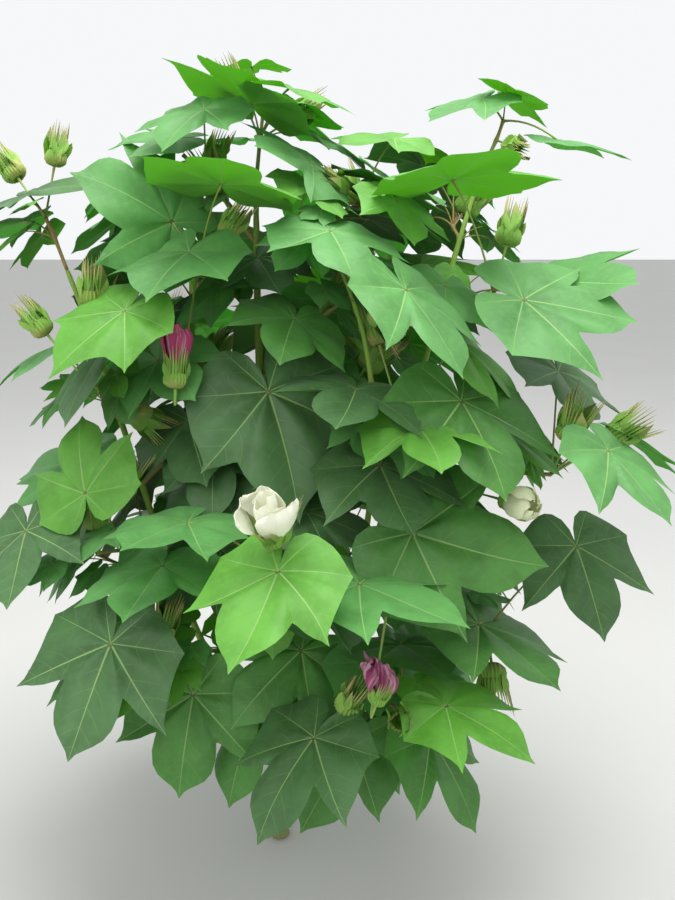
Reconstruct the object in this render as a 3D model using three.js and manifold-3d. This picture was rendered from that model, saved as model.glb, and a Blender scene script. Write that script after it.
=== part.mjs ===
// A cotton plant about one metre tall: a tapering main stem with a root flare, five boughs,
// and fruiting branches with lobed leaves on long stalks, flower buds, bolls and blooms.
// Millimetres, +Z up, origin at the centre of the flat cut under the main stem.
// Azimuths are in degrees, 0 along +X and -90 towards the side that the plant shows best.

import * as THREE from 'three';
import * as BufferGeometryUtils from 'three/addons/utils/BufferGeometryUtils.js';
import Module from 'manifold-3d';

const wasm = await Module();
wasm.setup();

// Clearances: between solids, from blade to blade, within one branch, around stalks and limbs,
// and the stretch of a branch that is free to lie against its own limb
const SOLID_GAP = 0.35;
const BLADE_CLEAR = 4;
const OWN_CLEAR = 2;
const ROD_CLEAR = 2;
const ROOT_FREE = 26;
const ROD_STEP = 6;
const BLADE_STEP = 12;

// Main stem and boughs: Bezier handles, radii at foot and tip, and steps along the axis.
// A bough leaves the main stem at the given share of its length.
const LIMBS = {
  main_stem: {
    handles: [[0, 0, 0], [0, 0, 300], [-22, 0, 620], [-14, 4, 865]], foot: 8.5, tip: 3, steps: 14,
  },
  right_bough: {
    handles: [[110, -30, 260], [150, -60, 600], [250, 40, 875]], leaves: 0.12, foot: 5.6, tip: 2.6, steps: 11,
  },
  middle_bough: {
    handles: [[110, -90, 300], [150, -110, 600], [95, -100, 735]], leaves: 0.17, foot: 5, tip: 2.5, steps: 9,
  },
  left_bough: {
    handles: [[-120, -30, 260], [-150, -60, 560], [-225, -48, 765]],
    leaves: 0.15, foot: 5.4, tip: 2.5, steps: 10,
  },
  back_left_bough: {
    handles: [[-60, 110, 300], [-130, 150, 560], [-120, 190, 780]],
    leaves: 0.19, foot: 5.2, tip: 2.5, steps: 9,
  },
  back_right_bough: {
    handles: [[60, 120, 290], [140, 140, 550], [150, 170, 775]], leaves: 0.14, foot: 5.4, tip: 2.5, steps: 9,
  },
};
const LIMB_SIDES = 8;
const STEEP = 0.7;
const LIMB_TAPER = 0.85;
const FLARE_RADIUS = 6.5;
const FLARE_HEIGHT = 16;
const FLARE_RINGS = [10, 32];

// Leaf: half outline as angle from the middle lobe and share of the leaf's length
const LEAF_OUTLINE = [[0, 1], [15, 0.77], [36, 0.56], [52, 0.84], [86, 0.62], [135, 0.44], [180, 0.06]];
const SIDE_LOBE = 52;
const LEAF_DROOP = 0.18;
const LEAF_THICKNESS = 0.02;
const FACE_OUTWARD = 0.55;
const FACE_SWAY = 0.22;

// Leaf stalk: radii at node, middle and blade, corners round it, upward arch, and how far
// under its blade it must come from
const STALK_RADII = [0.9, 1.5, 1.5];
const STALK_CORNERS = [-110, 0, 110];
const STALK_ARCH = 0.1;
const STALK_UNDER = -0.15;

// Fruiting branch: radii at root and tip, zigzag at its nodes and upward bow
const TWIG_SIDES = 3;
const TWIG_FOOT = 3;
const TWIG_TIP = 2;
const TWIG_OF_LIMB = 0.85;
const TWIG_ROOT_DEPTH = 2;
const TWIG_SPACING = 0.9;
const TWIG_ZIGZAG = [3, 5];
const TWIG_BOW = 0.06;
const NODE_BELOW = 10;

// Fruit: radius and height pairs from its foot up
const FRUIT_SHAPES = {
  bud: [[0, 0], [11, 10], [8, 25], [0, 34]],
  boll: [[0, 0], [14, 10], [11, 28], [0, 38]],
  bloom: [[0, 0], [14, 12], [31, 46], [0, 36]],
  pale: [[0, 0], [13, 12], [25, 40], [0, 32]],
  pink: [[0, 0], [12, 12], [11, 38], [0, 52]],
};
const FRUIT_SIDES = 5;
const FRUIT_STALK_RADIUS = 1.4;
const FRUIT_ROOM = 10;
const FRUIT_MIDDLE = 20;

// Crown: an egg of this radius about this height, where leaves by the rule stay inside
const CROWN_RADIUS = 365;
const CROWN_MIDDLE = 500;
const CROWN_HALF_HEIGHT = 560;
const LOWEST_LEAF = 95;

// The side that shows best is seen from here, and no leaf by the rule hides its leaves and blooms
const BEST_VIEW = [80, -1130, 830];
const SIGHT_REACH = 420;
const SIGHT_CLEAR = 1;
const SIGHT_ON_LOBE = 0.65;
const STEM_IN_SIGHT = [0.74, 0.82, 0.9];

// Branches that show, each with its limb, place along it, end, seed, leaves and fruit.
// A leaf is the place of its joint, then the azimuth, droop and length of its blade.
// A fruit is its kind and the place of its foot.
const SHOWN_BRANCHES = [
  {
    name: 'foliage_top', limb: 'main_stem', at: 1, end: [-5, 5, 935], nodes: 2, seed: 11,
    leaves: [
      [-15, -35, 940, -125, -20, 118], [-35, -30, 910, -135, -5, 108],
      [15, 40, 940, -40, 10, 95], [-10, 30, 950, 90, -25, 70],
    ],
    fruit: [['bud', -25, -15, 945], ['bud', 22, 8, 925]],
  },
  {
    name: 'foliage_upper_left', limb: 'main_stem', at: 0.8, end: [-75, -75, 760], nodes: 3, seed: 12,
    leaves: [
      [-100, -70, 815, -140, -35, 125], [-20, -100, 825, -120, -10, 118], [-70, -90, 690, -105, 10, 100],
    ],
    fruit: [['bud', -45, -70, 800], ['pink', -85, -145, 695]],
  },
  {
    name: 'foliage_upper_right', limb: 'main_stem', at: 0.86, end: [105, -15, 835], nodes: 3, seed: 13,
    leaves: [
      [60, -50, 885, -120, -15, 100], [145, 20, 905, -140, 5, 90], [125, -10, 860, -45, 15, 108],
    ],
    fruit: [['bud', 85, -48, 850]],
  },
  {
    name: 'foliage_middle_top', limb: 'middle_bough', at: 1, end: [70, -105, 795], nodes: 2, seed: 14,
    leaves: [[65, -140, 815, -75, 25, 105], [135, -190, 755, -60, 15, 110]],
    fruit: [['boll', 118, -110, 730]],
  },
  {
    name: 'foliage_middle_side', limb: 'middle_bough', at: 0.66, end: [150, -150, 600], nodes: 2, seed: 15,
    leaves: [[205, -180, 640, -55, 20, 130]],
    fruit: [['boll', 125, -95, 685]],
  },
  {
    name: 'foliage_right_top', limb: 'right_bough', at: 1, end: [275, 55, 930], nodes: 2, seed: 16,
    leaves: [
      [250, 60, 955, -145, 20, 88], [280, 65, 955, -60, 10, 72], [305, 20, 895, -60, 5, 95],
    ],
    fruit: [['bud', 275, 5, 900]],
  },
  {
    name: 'foliage_right_upper', limb: 'right_bough', at: 0.8, end: [250, -80, 740], nodes: 3, seed: 17,
    leaves: [
      [210, -110, 855, 60, -25, 128], [320, -60, 750, -55, 5, 118], [260, -150, 730, -60, 25, 130],
    ],
    fruit: [['bud', 265, -60, 790]],
  },
  {
    name: 'foliage_right_middle', limb: 'right_bough', at: 0.56, end: [315, -120, 545], nodes: 4, seed: 18,
    leaves: [
      [330, -60, 650, -80, 28, 104], [325, -195, 570, -70, 10, 105], [405, -110, 580, -70, 5, 80],
    ],
    fruit: [['boll', 325, -140, 590], ['boll', 372, -128, 585], ['pale', 270, -165, 530]],
  },
  {
    name: 'foliage_right_low', limb: 'right_bough', at: 0.36, end: [250, -140, 370], nodes: 3, seed: 19,
    leaves: [
      [345, -130, 465, -60, 12, 107], [235, -170, 390, -50, 12, 126],
    ],
    fruit: [['boll', 250, -165, 340]],
  },
  {
    name: 'foliage_front_centre', limb: 'main_stem', at: 0.52, end: [10, -120, 545], nodes: 2, seed: 20,
    leaves: [[5, -130, 640, -75, 62, 140]],
    fruit: [['boll', 30, -120, 580]],
  },
  {
    name: 'foliage_front_bloom', limb: 'main_stem', at: 0.4, end: [5, -285, 500], nodes: 4, seed: 21,
    leaves: [
      [25, -320, 510, -105, 25, 105], [25, -250, 435, -90, 20, 108], [-75, -250, 500, -130, -10, 105],
    ],
    fruit: [['bloom', 15, -305, 535]],
  },
  {
    name: 'foliage_front_right', limb: 'main_stem', at: 0.37, end: [130, -235, 440], nodes: 3, seed: 22,
    leaves: [
      [155, -215, 510, -25, 17, 140], [100, -265, 475, -20, 34, 118], [112, -140, 560, -100, 28, 112],
    ],
    fruit: [['pink', 125, -265, 392]],
  },
  {
    name: 'foliage_low_left', limb: 'main_stem', at: 0.29, end: [-120, -190, 350], nodes: 3, seed: 23,
    leaves: [
      [-155, -230, 395, -120, 50, 118], [-105, -190, 465, -100, 8, 110], [-80, -180, 310, -105, 62, 118],
    ],
    fruit: [['boll', -115, -215, 365]],
  },
  {
    name: 'foliage_left_middle', limb: 'left_bough', at: 0.5, end: [-190, -125, 455], nodes: 3, seed: 24,
    leaves: [
      [-260, -150, 490, -85, 30, 103], [-190, -160, 535, 110, -45, 98],
    ],
    fruit: [['boll', -165, -120, 520], ['boll', -205, -150, 470]],
  },
  {
    name: 'foliage_left_upper', limb: 'left_bough', at: 0.74, end: [-190, -125, 650], nodes: 3, seed: 25,
    leaves: [
      [-135, -170, 730, -95, 12, 98], [-165, -125, 690, -105, 32, 110],
    ],
    fruit: [['bud', -180, -125, 730], ['bud', -230, -120, 700], ['boll', -175, -130, 615]],
  },
  {
    name: 'foliage_left_top', limb: 'left_bough', at: 1, end: [-242, -55, 820], nodes: 2, seed: 26,
    leaves: [
      [-235, -110, 770, -50, 10, 88], [-265, -40, 845, -40, -5, 105], [-285, -50, 790, -160, 15, 90],
    ],
    fruit: [['bud', -232, -42, 875], ['bud', -275, -35, 862]],
  },
  {
    name: 'foliage_low_front', limb: 'main_stem', at: 0.22, end: [60, -205, 265], nodes: 3, seed: 27,
    leaves: [
      [55, -260, 305, -130, 60, 112], [25, -170, 325, -130, 10, 110], [70, -185, 225, -95, 68, 105],
    ],
    fruit: [['bud', 85, -230, 320]],
  },
  {
    name: 'foliage_low_right', limb: 'main_stem', at: 0.26, end: [150, -200, 300], nodes: 3, seed: 28,
    leaves: [
      [190, -250, 335, -25, 28, 100], [170, -200, 270, -50, 50, 105], [150, -150, 355, -65, -5, 100],
    ],
    fruit: [['bud', 145, -245, 320]],
  },
];

// Branches by the rule: places along each limb, first azimuth, and lift at root and tip
const RULE_LIMBS = [
  { limb: 'main_stem', from: 0.3, to: 0.9, count: 7, azimuth: 90, seed: 101 },
  { limb: 'right_bough', from: 0.42, to: 0.88, count: 3, azimuth: 40, seed: 202 },
  { limb: 'left_bough', from: 0.4, to: 0.86, count: 3, azimuth: 170, seed: 303 },
  { limb: 'back_left_bough', from: 0.32, to: 1, count: 6, azimuth: 100, seed: 404 },
  { limb: 'back_right_bough', from: 0.32, to: 1, count: 6, azimuth: 60, seed: 505 },
];
const RULE_TURN = 137.5;
const RULE_RETURN = 25;
const RULE_LIFT = [10, 55];
const RULE_REACH = [0.4, 0.6];
const RULE_SHORTEST = 60;
const RULE_MARGIN = 70;
const RULE_FRONT = -60;
const RULE_NODES = 3;

// Leaves by the rule: how many a branch tries, and the ranges that they are drawn from.
// Above HIGH_FROM they get smaller and droop less, up to HIGH_SPAN further on.
const RULE_LEAVES = 8;
const LEAF_TURN = [0, 90];
const LEAF_LIFT = [0, 70];
const LEAF_STALK = [55, 125];
const LEAF_LENGTH = [95, 135];
const LEAF_OUTWARD = 0.4;
const LEAF_SWAY = 25;
const STEEPEST_DROOP = [60, 30];
const HIGH_FROM = 500;
const HIGH_SPAN = 450;
const HIGH_SIZE = 0.72;
const FRUIT_SHARE = 0.3;
const FRUIT_LIFT = 50;
const FRUIT_REACH = 20;

// Where a leaf or a branch doesn't fit, it is drawn again this often, with wider sways
const TRIES = 24;
const SHOWN_SWAY = 2;
const SEED_STRIDE = 1000;

const MERGE_WITHIN = 1e-4;

const UP = new THREE.Vector3(0, 0, 1);
const radians = THREE.MathUtils.degToRad;
const degrees = THREE.MathUtils.radToDeg;
const mix = THREE.MathUtils.lerp;

// Seeded draws, the same on every run
function draws(seed) {
  const modulus = 2147483647;
  let state = seed * 7919 + 17;
  return (low = 0, high = 1) => {
    state = (state * 16807) % modulus;
    return low + (high - low) * (state / modulus);
  };
}

function leafDraws(branch, number, attempt) {
  return draws(branch.seed * SEED_STRIDE + number * TRIES + attempt);
}

function point(values) {
  return new THREE.Vector3(...values);
}

// Unit vector with an azimuth and a lift above the horizontal, both in degrees
function heading(azimuth, lift) {
  const flat = Math.cos(radians(lift));
  const along = radians(azimuth);
  return new THREE.Vector3(flat * Math.cos(along), flat * Math.sin(along), Math.sin(radians(lift)));
}

function azimuthOf(vector) {
  return degrees(Math.atan2(vector.y, vector.x));
}

function sway(random, size) {
  return new THREE.Vector3(random(-size, size), random(-size, size), random(-size, size));
}

// Exact solids for joining and cutting
function solid(geometry) {
  const bare = geometry.clone();
  bare.deleteAttribute('normal');
  bare.deleteAttribute('uv');
  const merged = BufferGeometryUtils.mergeVertices(bare, MERGE_WITHIN);
  return new wasm.Manifold(new wasm.Mesh({
    numProp: 3,
    vertProperties: new Float32Array(merged.attributes.position.array),
    triVerts: new Uint32Array(merged.index.array),
  }));
}

function geometryOf(body) {
  const mesh = body.getMesh();
  const geometry = new THREE.BufferGeometry();
  geometry.setAttribute('position', new THREE.BufferAttribute(mesh.vertProperties, 3));
  geometry.setIndex(new THREE.BufferAttribute(mesh.triVerts, 1));
  return geometry;
}

// Closed tube with a radius at each point: a cylinder whose rings are laid along the points
function ringTangents(points) {
  const last = points.length - 1;
  return points.map((_, i) => {
    const ahead = points[Math.min(i + 1, last)].clone();
    return ahead.sub(points[Math.max(i - 1, 0)]).normalize();
  });
}

function tube(points, radii, sides) {
  const steps = points.length - 1;
  const geometry = new THREE.CylinderGeometry(1, 1, 1, sides, steps);
  const tangents = ringTangents(points);
  const across = Math.abs(tangents[0].z) > STEEP ? new THREE.Vector3(1, 0, 0) : UP.clone();
  const normals = tangents.map((tangent) => {
    across.addScaledVector(tangent, -across.dot(tangent)).normalize();
    return across.clone();
  });
  const position = geometry.attributes.position;
  for (let i = 0; i < position.count; i++) {
    const ring = Math.round((position.getY(i) + 0.5) * steps);
    const sideways = normals[ring].clone().cross(tangents[ring]);
    const place = points[ring].clone();
    place.addScaledVector(normals[ring], position.getX(i) * radii[ring]);
    place.addScaledVector(sideways, position.getZ(i) * radii[ring]);
    position.setXYZ(i, place.x, place.y, place.z);
  }
  return geometry;
}

// Main stem and boughs
function limbRadius(limb, share, height) {
  const taper = limb.tip + (limb.foot - limb.tip) * (1 - share) ** LIMB_TAPER;
  return limb.name === 'main_stem' ? taper + FLARE_RADIUS * Math.exp(-height / FLARE_HEIGHT) : taper;
}

function limbAxis(name, mainCurve) {
  const limb = { name, ...LIMBS[name] };
  const handles = limb.handles.map(point);
  if (limb.leaves) handles.unshift(mainCurve.getPoint(limb.leaves));
  limb.curve = new THREE.CubicBezierCurve3(...handles);
  limb.points = limb.curve.getPoints(limb.steps);
  const flareRings = FLARE_RINGS.map((height) => new THREE.Vector3(0, 0, height));
  if (name === 'main_stem') limb.points.splice(1, 0, ...flareRings);
  const last = limb.points.length - 1;
  limb.radii = limb.points.map((place, i) => limbRadius(limb, i / last, place.z));
  return limb;
}

// The same limb with the gap added all round and at its tip
function limbWithGap(limb) {
  const points = limb.points.map((place) => place.clone());
  points.at(-1).addScaledVector(ringTangents(points).at(-1), SOLID_GAP);
  const spread = SOLID_GAP / Math.cos(Math.PI / LIMB_SIDES);
  return solid(tube(points, limb.radii.map((radius) => radius + spread), LIMB_SIDES));
}

// Leaf outline: its radius at an angle from the middle lobe, and the angles of its corners
function leafRadius(angle) {
  const size = Math.abs(angle);
  let i = 1;
  while (LEAF_OUTLINE[i][0] < size) i++;
  const [before, low] = LEAF_OUTLINE[i - 1];
  const [after, high] = LEAF_OUTLINE[i];
  return mix(low, high, (size - before) / (after - before));
}

const SIDE_ANGLES = LEAF_OUTLINE.slice(1, -1).map(([angle]) => angle);
const RIM_ANGLES = [180, ...SIDE_ANGLES.map((angle) => -angle).reverse(), 0, ...SIDE_ANGLES];

// A blade's frame: its joint, the way it points, its side, and the face that looks up and out
function blade(joint, azimuth, droop, length, random) {
  const chord = heading(azimuth, -droop);
  const outward = new THREE.Vector3(joint.x, joint.y, 0).normalize();
  const facing = UP.clone().addScaledVector(outward, FACE_OUTWARD).add(sway(random, FACE_SWAY));
  facing.addScaledVector(chord, -facing.dot(chord)).normalize();
  const ahead = chord.clone().addScaledVector(facing, LEAF_DROOP).normalize();
  const face = facing.clone().addScaledVector(chord, -LEAF_DROOP).normalize();
  return { joint, ahead, face, side: face.clone().cross(ahead), length };
}

function bladePoint(leaf, angle, share) {
  const rim = leafRadius(angle);
  const reach = rim * leaf.length * share;
  const place = leaf.joint.clone();
  place.addScaledVector(leaf.ahead, Math.cos(radians(angle)) * reach);
  place.addScaledVector(leaf.side, Math.sin(radians(angle)) * reach);
  return place.addScaledVector(leaf.face, -LEAF_DROOP * rim * reach);
}

// Rings of corners along the stalk, from under the blade down to the node
function stalkRings(leaf, top) {
  const centres = [top, leaf.stalk[1], leaf.stalk[0]];
  const directions = [leaf.face.clone().negate(), ...ringTangents(centres).slice(1)];
  const turn = new THREE.Quaternion();
  return centres.flatMap((centre, i) => {
    if (i) turn.premultiply(new THREE.Quaternion().setFromUnitVectors(directions[i - 1], directions[i]));
    return STALK_CORNERS.map((angle) => {
      const corner = leaf.ahead.clone().multiplyScalar(Math.cos(radians(angle)));
      corner.addScaledVector(leaf.side, Math.sin(radians(angle))).applyQuaternion(turn);
      return centre.clone().addScaledVector(corner, STALK_RADII.at(-1 - i));
    });
  });
}

// Blade and stalk as one closed shape: a thin lens whose underside runs down into the stalk
function leafGeometry(leaf) {
  const half = leaf.length * LEAF_THICKNESS / 2;
  const top = leaf.joint.clone().addScaledVector(leaf.face, half);
  const bottom = leaf.joint.clone().addScaledVector(leaf.face, -half);
  const places = [top, ...RIM_ANGLES.map((angle) => bladePoint(leaf, angle, 1)), ...stalkRings(leaf, bottom)];
  const rimCount = RIM_ANGLES.length;
  const sides = STALK_CORNERS.length;
  const levels = STALK_RADII.length;
  const rim = (i) => 1 + (i % rimCount);
  const ring = (level, i) => 1 + rimCount + level * sides + (i % sides);
  const faces = [];
  for (let i = 0; i < rimCount; i++) {
    const corner = Math.floor(i * sides / rimCount);
    const next = Math.floor((i + 1) * sides / rimCount);
    faces.push([0, rim(i), rim(i + 1)], [rim(i + 1), rim(i), ring(0, corner)]);
    if (next !== corner) faces.push([rim(i + 1), ring(0, corner), ring(0, next)]);
  }
  for (let level = 1; level < levels; level++) {
    for (let i = 0; i < sides; i++) {
      faces.push([ring(level - 1, i), ring(level, i), ring(level, i + 1)]);
      faces.push([ring(level - 1, i), ring(level, i + 1), ring(level - 1, i + 1)]);
    }
  }
  faces.push(STALK_CORNERS.map((_, i) => ring(levels - 1, sides - 1 - i)));
  return new THREE.BufferGeometry().setFromPoints(places).setIndex(faces.flat());
}

// A fruit on its short stalk, turned about the axis that runs from its node through its foot
function fruitGeometry({ kind, node, foot, axis }) {
  const stalk = node.distanceTo(foot);
  const outline = [[0, 0], [FRUIT_STALK_RADIUS, 0], [FRUIT_STALK_RADIUS, stalk]];
  FRUIT_SHAPES[kind].slice(1).forEach(([radius, height]) => outline.push([radius, stalk + height]));
  const geometry = new THREE.LatheGeometry(outline.map((pair) => new THREE.Vector2(...pair)), FRUIT_SIDES);
  geometry.applyQuaternion(new THREE.Quaternion().setFromUnitVectors(new THREE.Vector3(0, 1, 0), axis));
  return geometry.translate(node.x, node.y, node.z);
}

// What has been placed: blades, and rods, the straight stretches of limbs, twigs, stalks and fruit
const placedBlades = [];
const placedRods = [];

function rodsAlong(points, radii, owner) {
  return points.slice(1).map((to, i) => {
    const radius = (radii[i] + radii[i + 1]) / 2;
    return { from: points[i], to, radius, owner };
  });
}

function distanceToSegment(place, from, to) {
  const along = to.clone().sub(from);
  const share = THREE.MathUtils.clamp(place.clone().sub(from).dot(along) / along.lengthSq(), 0, 1);
  return place.distanceTo(from.clone().addScaledVector(along, share));
}

// Whether a segment comes near a blade or passes through it
function nearBlade(leaf, from, to, clear) {
  if (distanceToSegment(leaf.joint, from, to) > leaf.length + clear) return false;
  const steps = Math.max(2, Math.ceil(from.distanceTo(to) / BLADE_STEP));
  let before = null;
  for (let i = 0; i <= steps; i++) {
    const offset = from.clone().lerp(to, i / steps).sub(leaf.joint);
    const ahead = offset.dot(leaf.ahead);
    const side = offset.dot(leaf.side);
    const reach = Math.hypot(ahead, side);
    const rim = leafRadius(degrees(Math.atan2(side, ahead)));
    const inside = reach < rim * leaf.length + clear;
    const height = offset.dot(leaf.face) + LEAF_DROOP * rim * reach;
    if (inside && Math.abs(height) < clear) return true;
    if (before && before.height * height < 0 && (inside || before.inside)) return true;
    before = { height, inside };
  }
  return false;
}

function bladeEdges(leaf) {
  const rim = RIM_ANGLES.map((angle) => bladePoint(leaf, angle, 1));
  return rim.flatMap((place, i) => [[leaf.joint, place], [place, rim[(i + 1) % rim.length]]]);
}

function bladesTouch(one, other) {
  if (one.joint.distanceTo(other.joint) > one.length + other.length) return false;
  const clear = one.owner === other.owner ? OWN_CLEAR : BLADE_CLEAR;
  return one.edges.some(([from, to]) => nearBlade(other, from, to, clear))
    || other.edges.some(([from, to]) => nearBlade(one, from, to, clear));
}

function rodThroughBlade(rod, leaf) {
  const clear = rod.owner === leaf.owner ? OWN_CLEAR : rod.radius + ROD_CLEAR;
  return nearBlade(leaf, rod.from, rod.to, clear);
}

function rodsTouch(rod, other, branch) {
  const gap = rod.radius + other.radius + ROD_CLEAR;
  const steps = Math.max(1, Math.ceil(rod.from.distanceTo(rod.to) / ROD_STEP));
  for (let i = 0; i <= steps; i++) {
    const place = rod.from.clone().lerp(rod.to, i / steps);
    if (other.owner === branch.limb && place.distanceTo(branch.root) < ROOT_FREE) continue;
    if (distanceToSegment(place, other.from, other.to) < gap) return true;
  }
  return false;
}

// A shown leaf may rest against the stalks and blades of its own branch, which it is joined to
function rodIsFree(rod, branch, shown) {
  const ownBlade = (leaf) => shown && leaf.owner === branch.name;
  return !placedRods.some((other) => other.owner !== branch.name && rodsTouch(rod, other, branch))
    && !placedBlades.some((leaf) => !ownBlade(leaf) && rodThroughBlade(rod, leaf));
}

function bladeIsFree(leaf, shown) {
  const ownRod = (rod) => shown && rod.owner === leaf.owner;
  return leaf.edges.every(([, to]) => to.z > LOWEST_LEAF)
    && !placedRods.some((rod) => !ownRod(rod) && rodThroughBlade(rod, leaf))
    && !placedBlades.some((other) => bladesTouch(leaf, other));
}

// Crown room, and lines from what shows towards the best viewpoint
const sightLines = [];

function crownRadius(height) {
  return CROWN_RADIUS * Math.sqrt(Math.max(0, 1 - ((height - CROWN_MIDDLE) / CROWN_HALF_HEIGHT) ** 2));
}

function insideCrown(leaf) {
  return leaf.edges.every(([, to]) => Math.hypot(to.x, to.y) < crownRadius(to.z))
    && !sightLines.some(([from, to]) => nearBlade(leaf, from, to, SIGHT_CLEAR));
}

function keepInSight(place) {
  const towards = point(BEST_VIEW).sub(place).setLength(SIGHT_REACH);
  sightLines.push([place, place.clone().add(towards)]);
}

function keepBranchInSight(branch) {
  for (const leaf of branch.leaves) {
    keepInSight(leaf.joint);
    for (const angle of [-SIDE_LOBE, 0, SIDE_LOBE]) keepInSight(bladePoint(leaf, angle, SIGHT_ON_LOBE));
  }
  for (const { foot, axis } of branch.fruit) keepInSight(foot.clone().addScaledVector(axis, FRUIT_MIDDLE));
}

// One leaf on its stalk, if it fits the crown and nothing is in its way
function tryLeaf(branch, node, joint, azimuth, droop, length, random, shown) {
  const leaf = blade(joint, azimuth, droop, length, random);
  leaf.edges = bladeEdges(leaf);
  leaf.owner = branch.name;
  const middle = node.clone().lerp(joint, 0.5).addScaledVector(UP, STALK_ARCH * node.distanceTo(joint));
  leaf.stalk = [node, middle, joint];
  if (middle.clone().sub(joint).normalize().dot(leaf.face) > STALK_UNDER) return false;
  const rods = rodsAlong(leaf.stalk, STALK_RADII, branch.name);
  if (!shown && !insideCrown(leaf)) return false;
  if (!bladeIsFree(leaf, shown) || !rods.every((rod) => rodIsFree(rod, branch, shown))) return false;
  placedBlades.push(leaf);
  placedRods.push(...rods);
  branch.leaves.push(leaf);
  return true;
}

// The zigzag twig of a branch, with its nodes, or null where it has no room
function startBranch(name, limb, at, end, nodes, seed) {
  const root = limb.curve.getPoint(at);
  const random = draws(seed);
  if (at === 1) root.addScaledVector(limb.curve.getTangent(1), -TWIG_ROOT_DEPTH);
  const along = end.clone().sub(root);
  const sideways = along.clone().cross(UP).normalize();
  const points = [root];
  for (let i = 1; i <= nodes; i++) {
    const share = (i / nodes) ** TWIG_SPACING;
    const place = root.clone().addScaledVector(along, share);
    place.addScaledVector(UP, along.length() * TWIG_BOW * Math.sin(Math.PI * share));
    if (i < nodes) place.addScaledVector(sideways, (i % 2 ? 1 : -1) * random(...TWIG_ZIGZAG));
    points.push(place);
  }
  const foot = Math.min(TWIG_FOOT, limbRadius(limb, at, root.z) * TWIG_OF_LIMB);
  const radii = points.map((_, i) => mix(foot, Math.min(foot, TWIG_TIP), i / nodes));
  const places = { root, points, radii, nodes: points.slice(1) };
  const branch = { name, limb: limb.name, seed, ...places, leaves: [], fruit: [] };
  const rods = rodsAlong(points, radii, name);
  if (!rods.every((rod) => rodIsFree(rod, branch, false))) return null;
  placedRods.push(...rods);
  return branch;
}

function nearestNode(branch, place) {
  const below = branch.nodes.filter((node) => node.z < place.z - NODE_BELOW);
  const choice = below.length ? below : branch.nodes;
  return choice.reduce((best, node) => (node.distanceTo(place) < best.distanceTo(place) ? node : best));
}

function addFruit(branch, kind, foot) {
  const node = nearestNode(branch, foot);
  const axis = foot.clone().sub(node).normalize();
  const height = FRUIT_SHAPES[kind].at(-1)[1];
  const points = [node, foot, foot.clone().addScaledVector(axis, height)];
  const rods = rodsAlong(points, [FRUIT_STALK_RADIUS, FRUIT_ROOM, FRUIT_ROOM], branch.name);
  if (!rods.every((rod) => rodIsFree(rod, branch, false))) return;
  placedRods.push(...rods);
  branch.fruit.push({ kind, node, foot, axis });
}

function shownLeaf(branch, [x, y, z, azimuth, droop, length], number) {
  for (let attempt = 0; attempt < TRIES; attempt++) {
    const random = leafDraws(branch, number, attempt);
    const size = attempt * SHOWN_SWAY;
    const joint = new THREE.Vector3(x, y, z).add(sway(random, size));
    const turned = azimuth + random(-size, size);
    const tipped = droop + random(-size, size);
    if (tryLeaf(branch, nearestNode(branch, joint), joint, turned, tipped, length, random, true)) return;
  }
}

// A leaf by the rule, left and right of its branch in turn
function ruleLeaf(branch, number) {
  const node = branch.nodes[number % branch.nodes.length];
  const azimuth = azimuthOf(branch.points.at(-1).clone().sub(branch.root));
  const high = THREE.MathUtils.clamp((node.z - HIGH_FROM) / HIGH_SPAN, 0, 1);
  const size = mix(1, HIGH_SIZE, high);
  for (let attempt = 0; attempt < TRIES; attempt++) {
    const random = leafDraws(branch, number + RULE_LEAVES, attempt);
    const turn = azimuth + (number % 2 ? 1 : -1) * random(...LEAF_TURN);
    const towards = heading(turn, random(...LEAF_LIFT));
    const joint = node.clone().addScaledVector(towards, random(...LEAF_STALK) * size);
    const spread = THREE.MathUtils.euclideanModulo(azimuthOf(joint) - turn + 180, 360) - 180;
    const bladeAzimuth = turn + spread * LEAF_OUTWARD + random(-LEAF_SWAY, LEAF_SWAY);
    const droop = random(0, mix(...STEEPEST_DROOP, high));
    const length = random(...LEAF_LENGTH) * size;
    if (tryLeaf(branch, node, joint, bladeAzimuth, droop, length, random, false)) return;
  }
}

function ruleFruit(branch) {
  const random = draws(branch.seed);
  for (const node of branch.nodes) {
    const foot = node.clone().addScaledVector(heading(random(0, 360), FRUIT_LIFT), FRUIT_REACH);
    const kind = random() < 0.5 ? 'bud' : 'boll';
    if (random() < FRUIT_SHARE) addFruit(branch, kind, foot);
  }
}

function ruleBranch(row, number, name, limb) {
  const at = mix(row.from, row.to, number / (row.count - 1));
  const root = limb.curve.getPoint(at);
  const room = crownRadius(root.z) - Math.hypot(root.x, root.y);
  for (let attempt = 0; attempt < TRIES; attempt++) {
    const random = draws((row.seed + number) * TRIES + attempt);
    const azimuth = row.azimuth + number * RULE_TURN + attempt * RULE_RETURN;
    const reach = Math.max(RULE_SHORTEST, room * random(...RULE_REACH));
    const end = root.clone().addScaledVector(heading(azimuth, mix(...RULE_LIFT, at)), reach);
    if (end.y < RULE_FRONT || Math.hypot(end.x, end.y) > crownRadius(end.z) - RULE_MARGIN) continue;
    const branch = startBranch(name, limb, at, end, RULE_NODES, row.seed + number);
    if (branch) return branch;
  }
  return null;
}

function ruleBranches(row, limb) {
  const made = [];
  for (let number = 0; number < row.count; number++) {
    const name = `foliage_${row.limb.replace(/_bough|_stem/, '')}_${made.length + 1}`;
    const branch = ruleBranch(row, number, name, limb);
    if (branch) made.push(branch);
  }
  return made;
}

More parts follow.
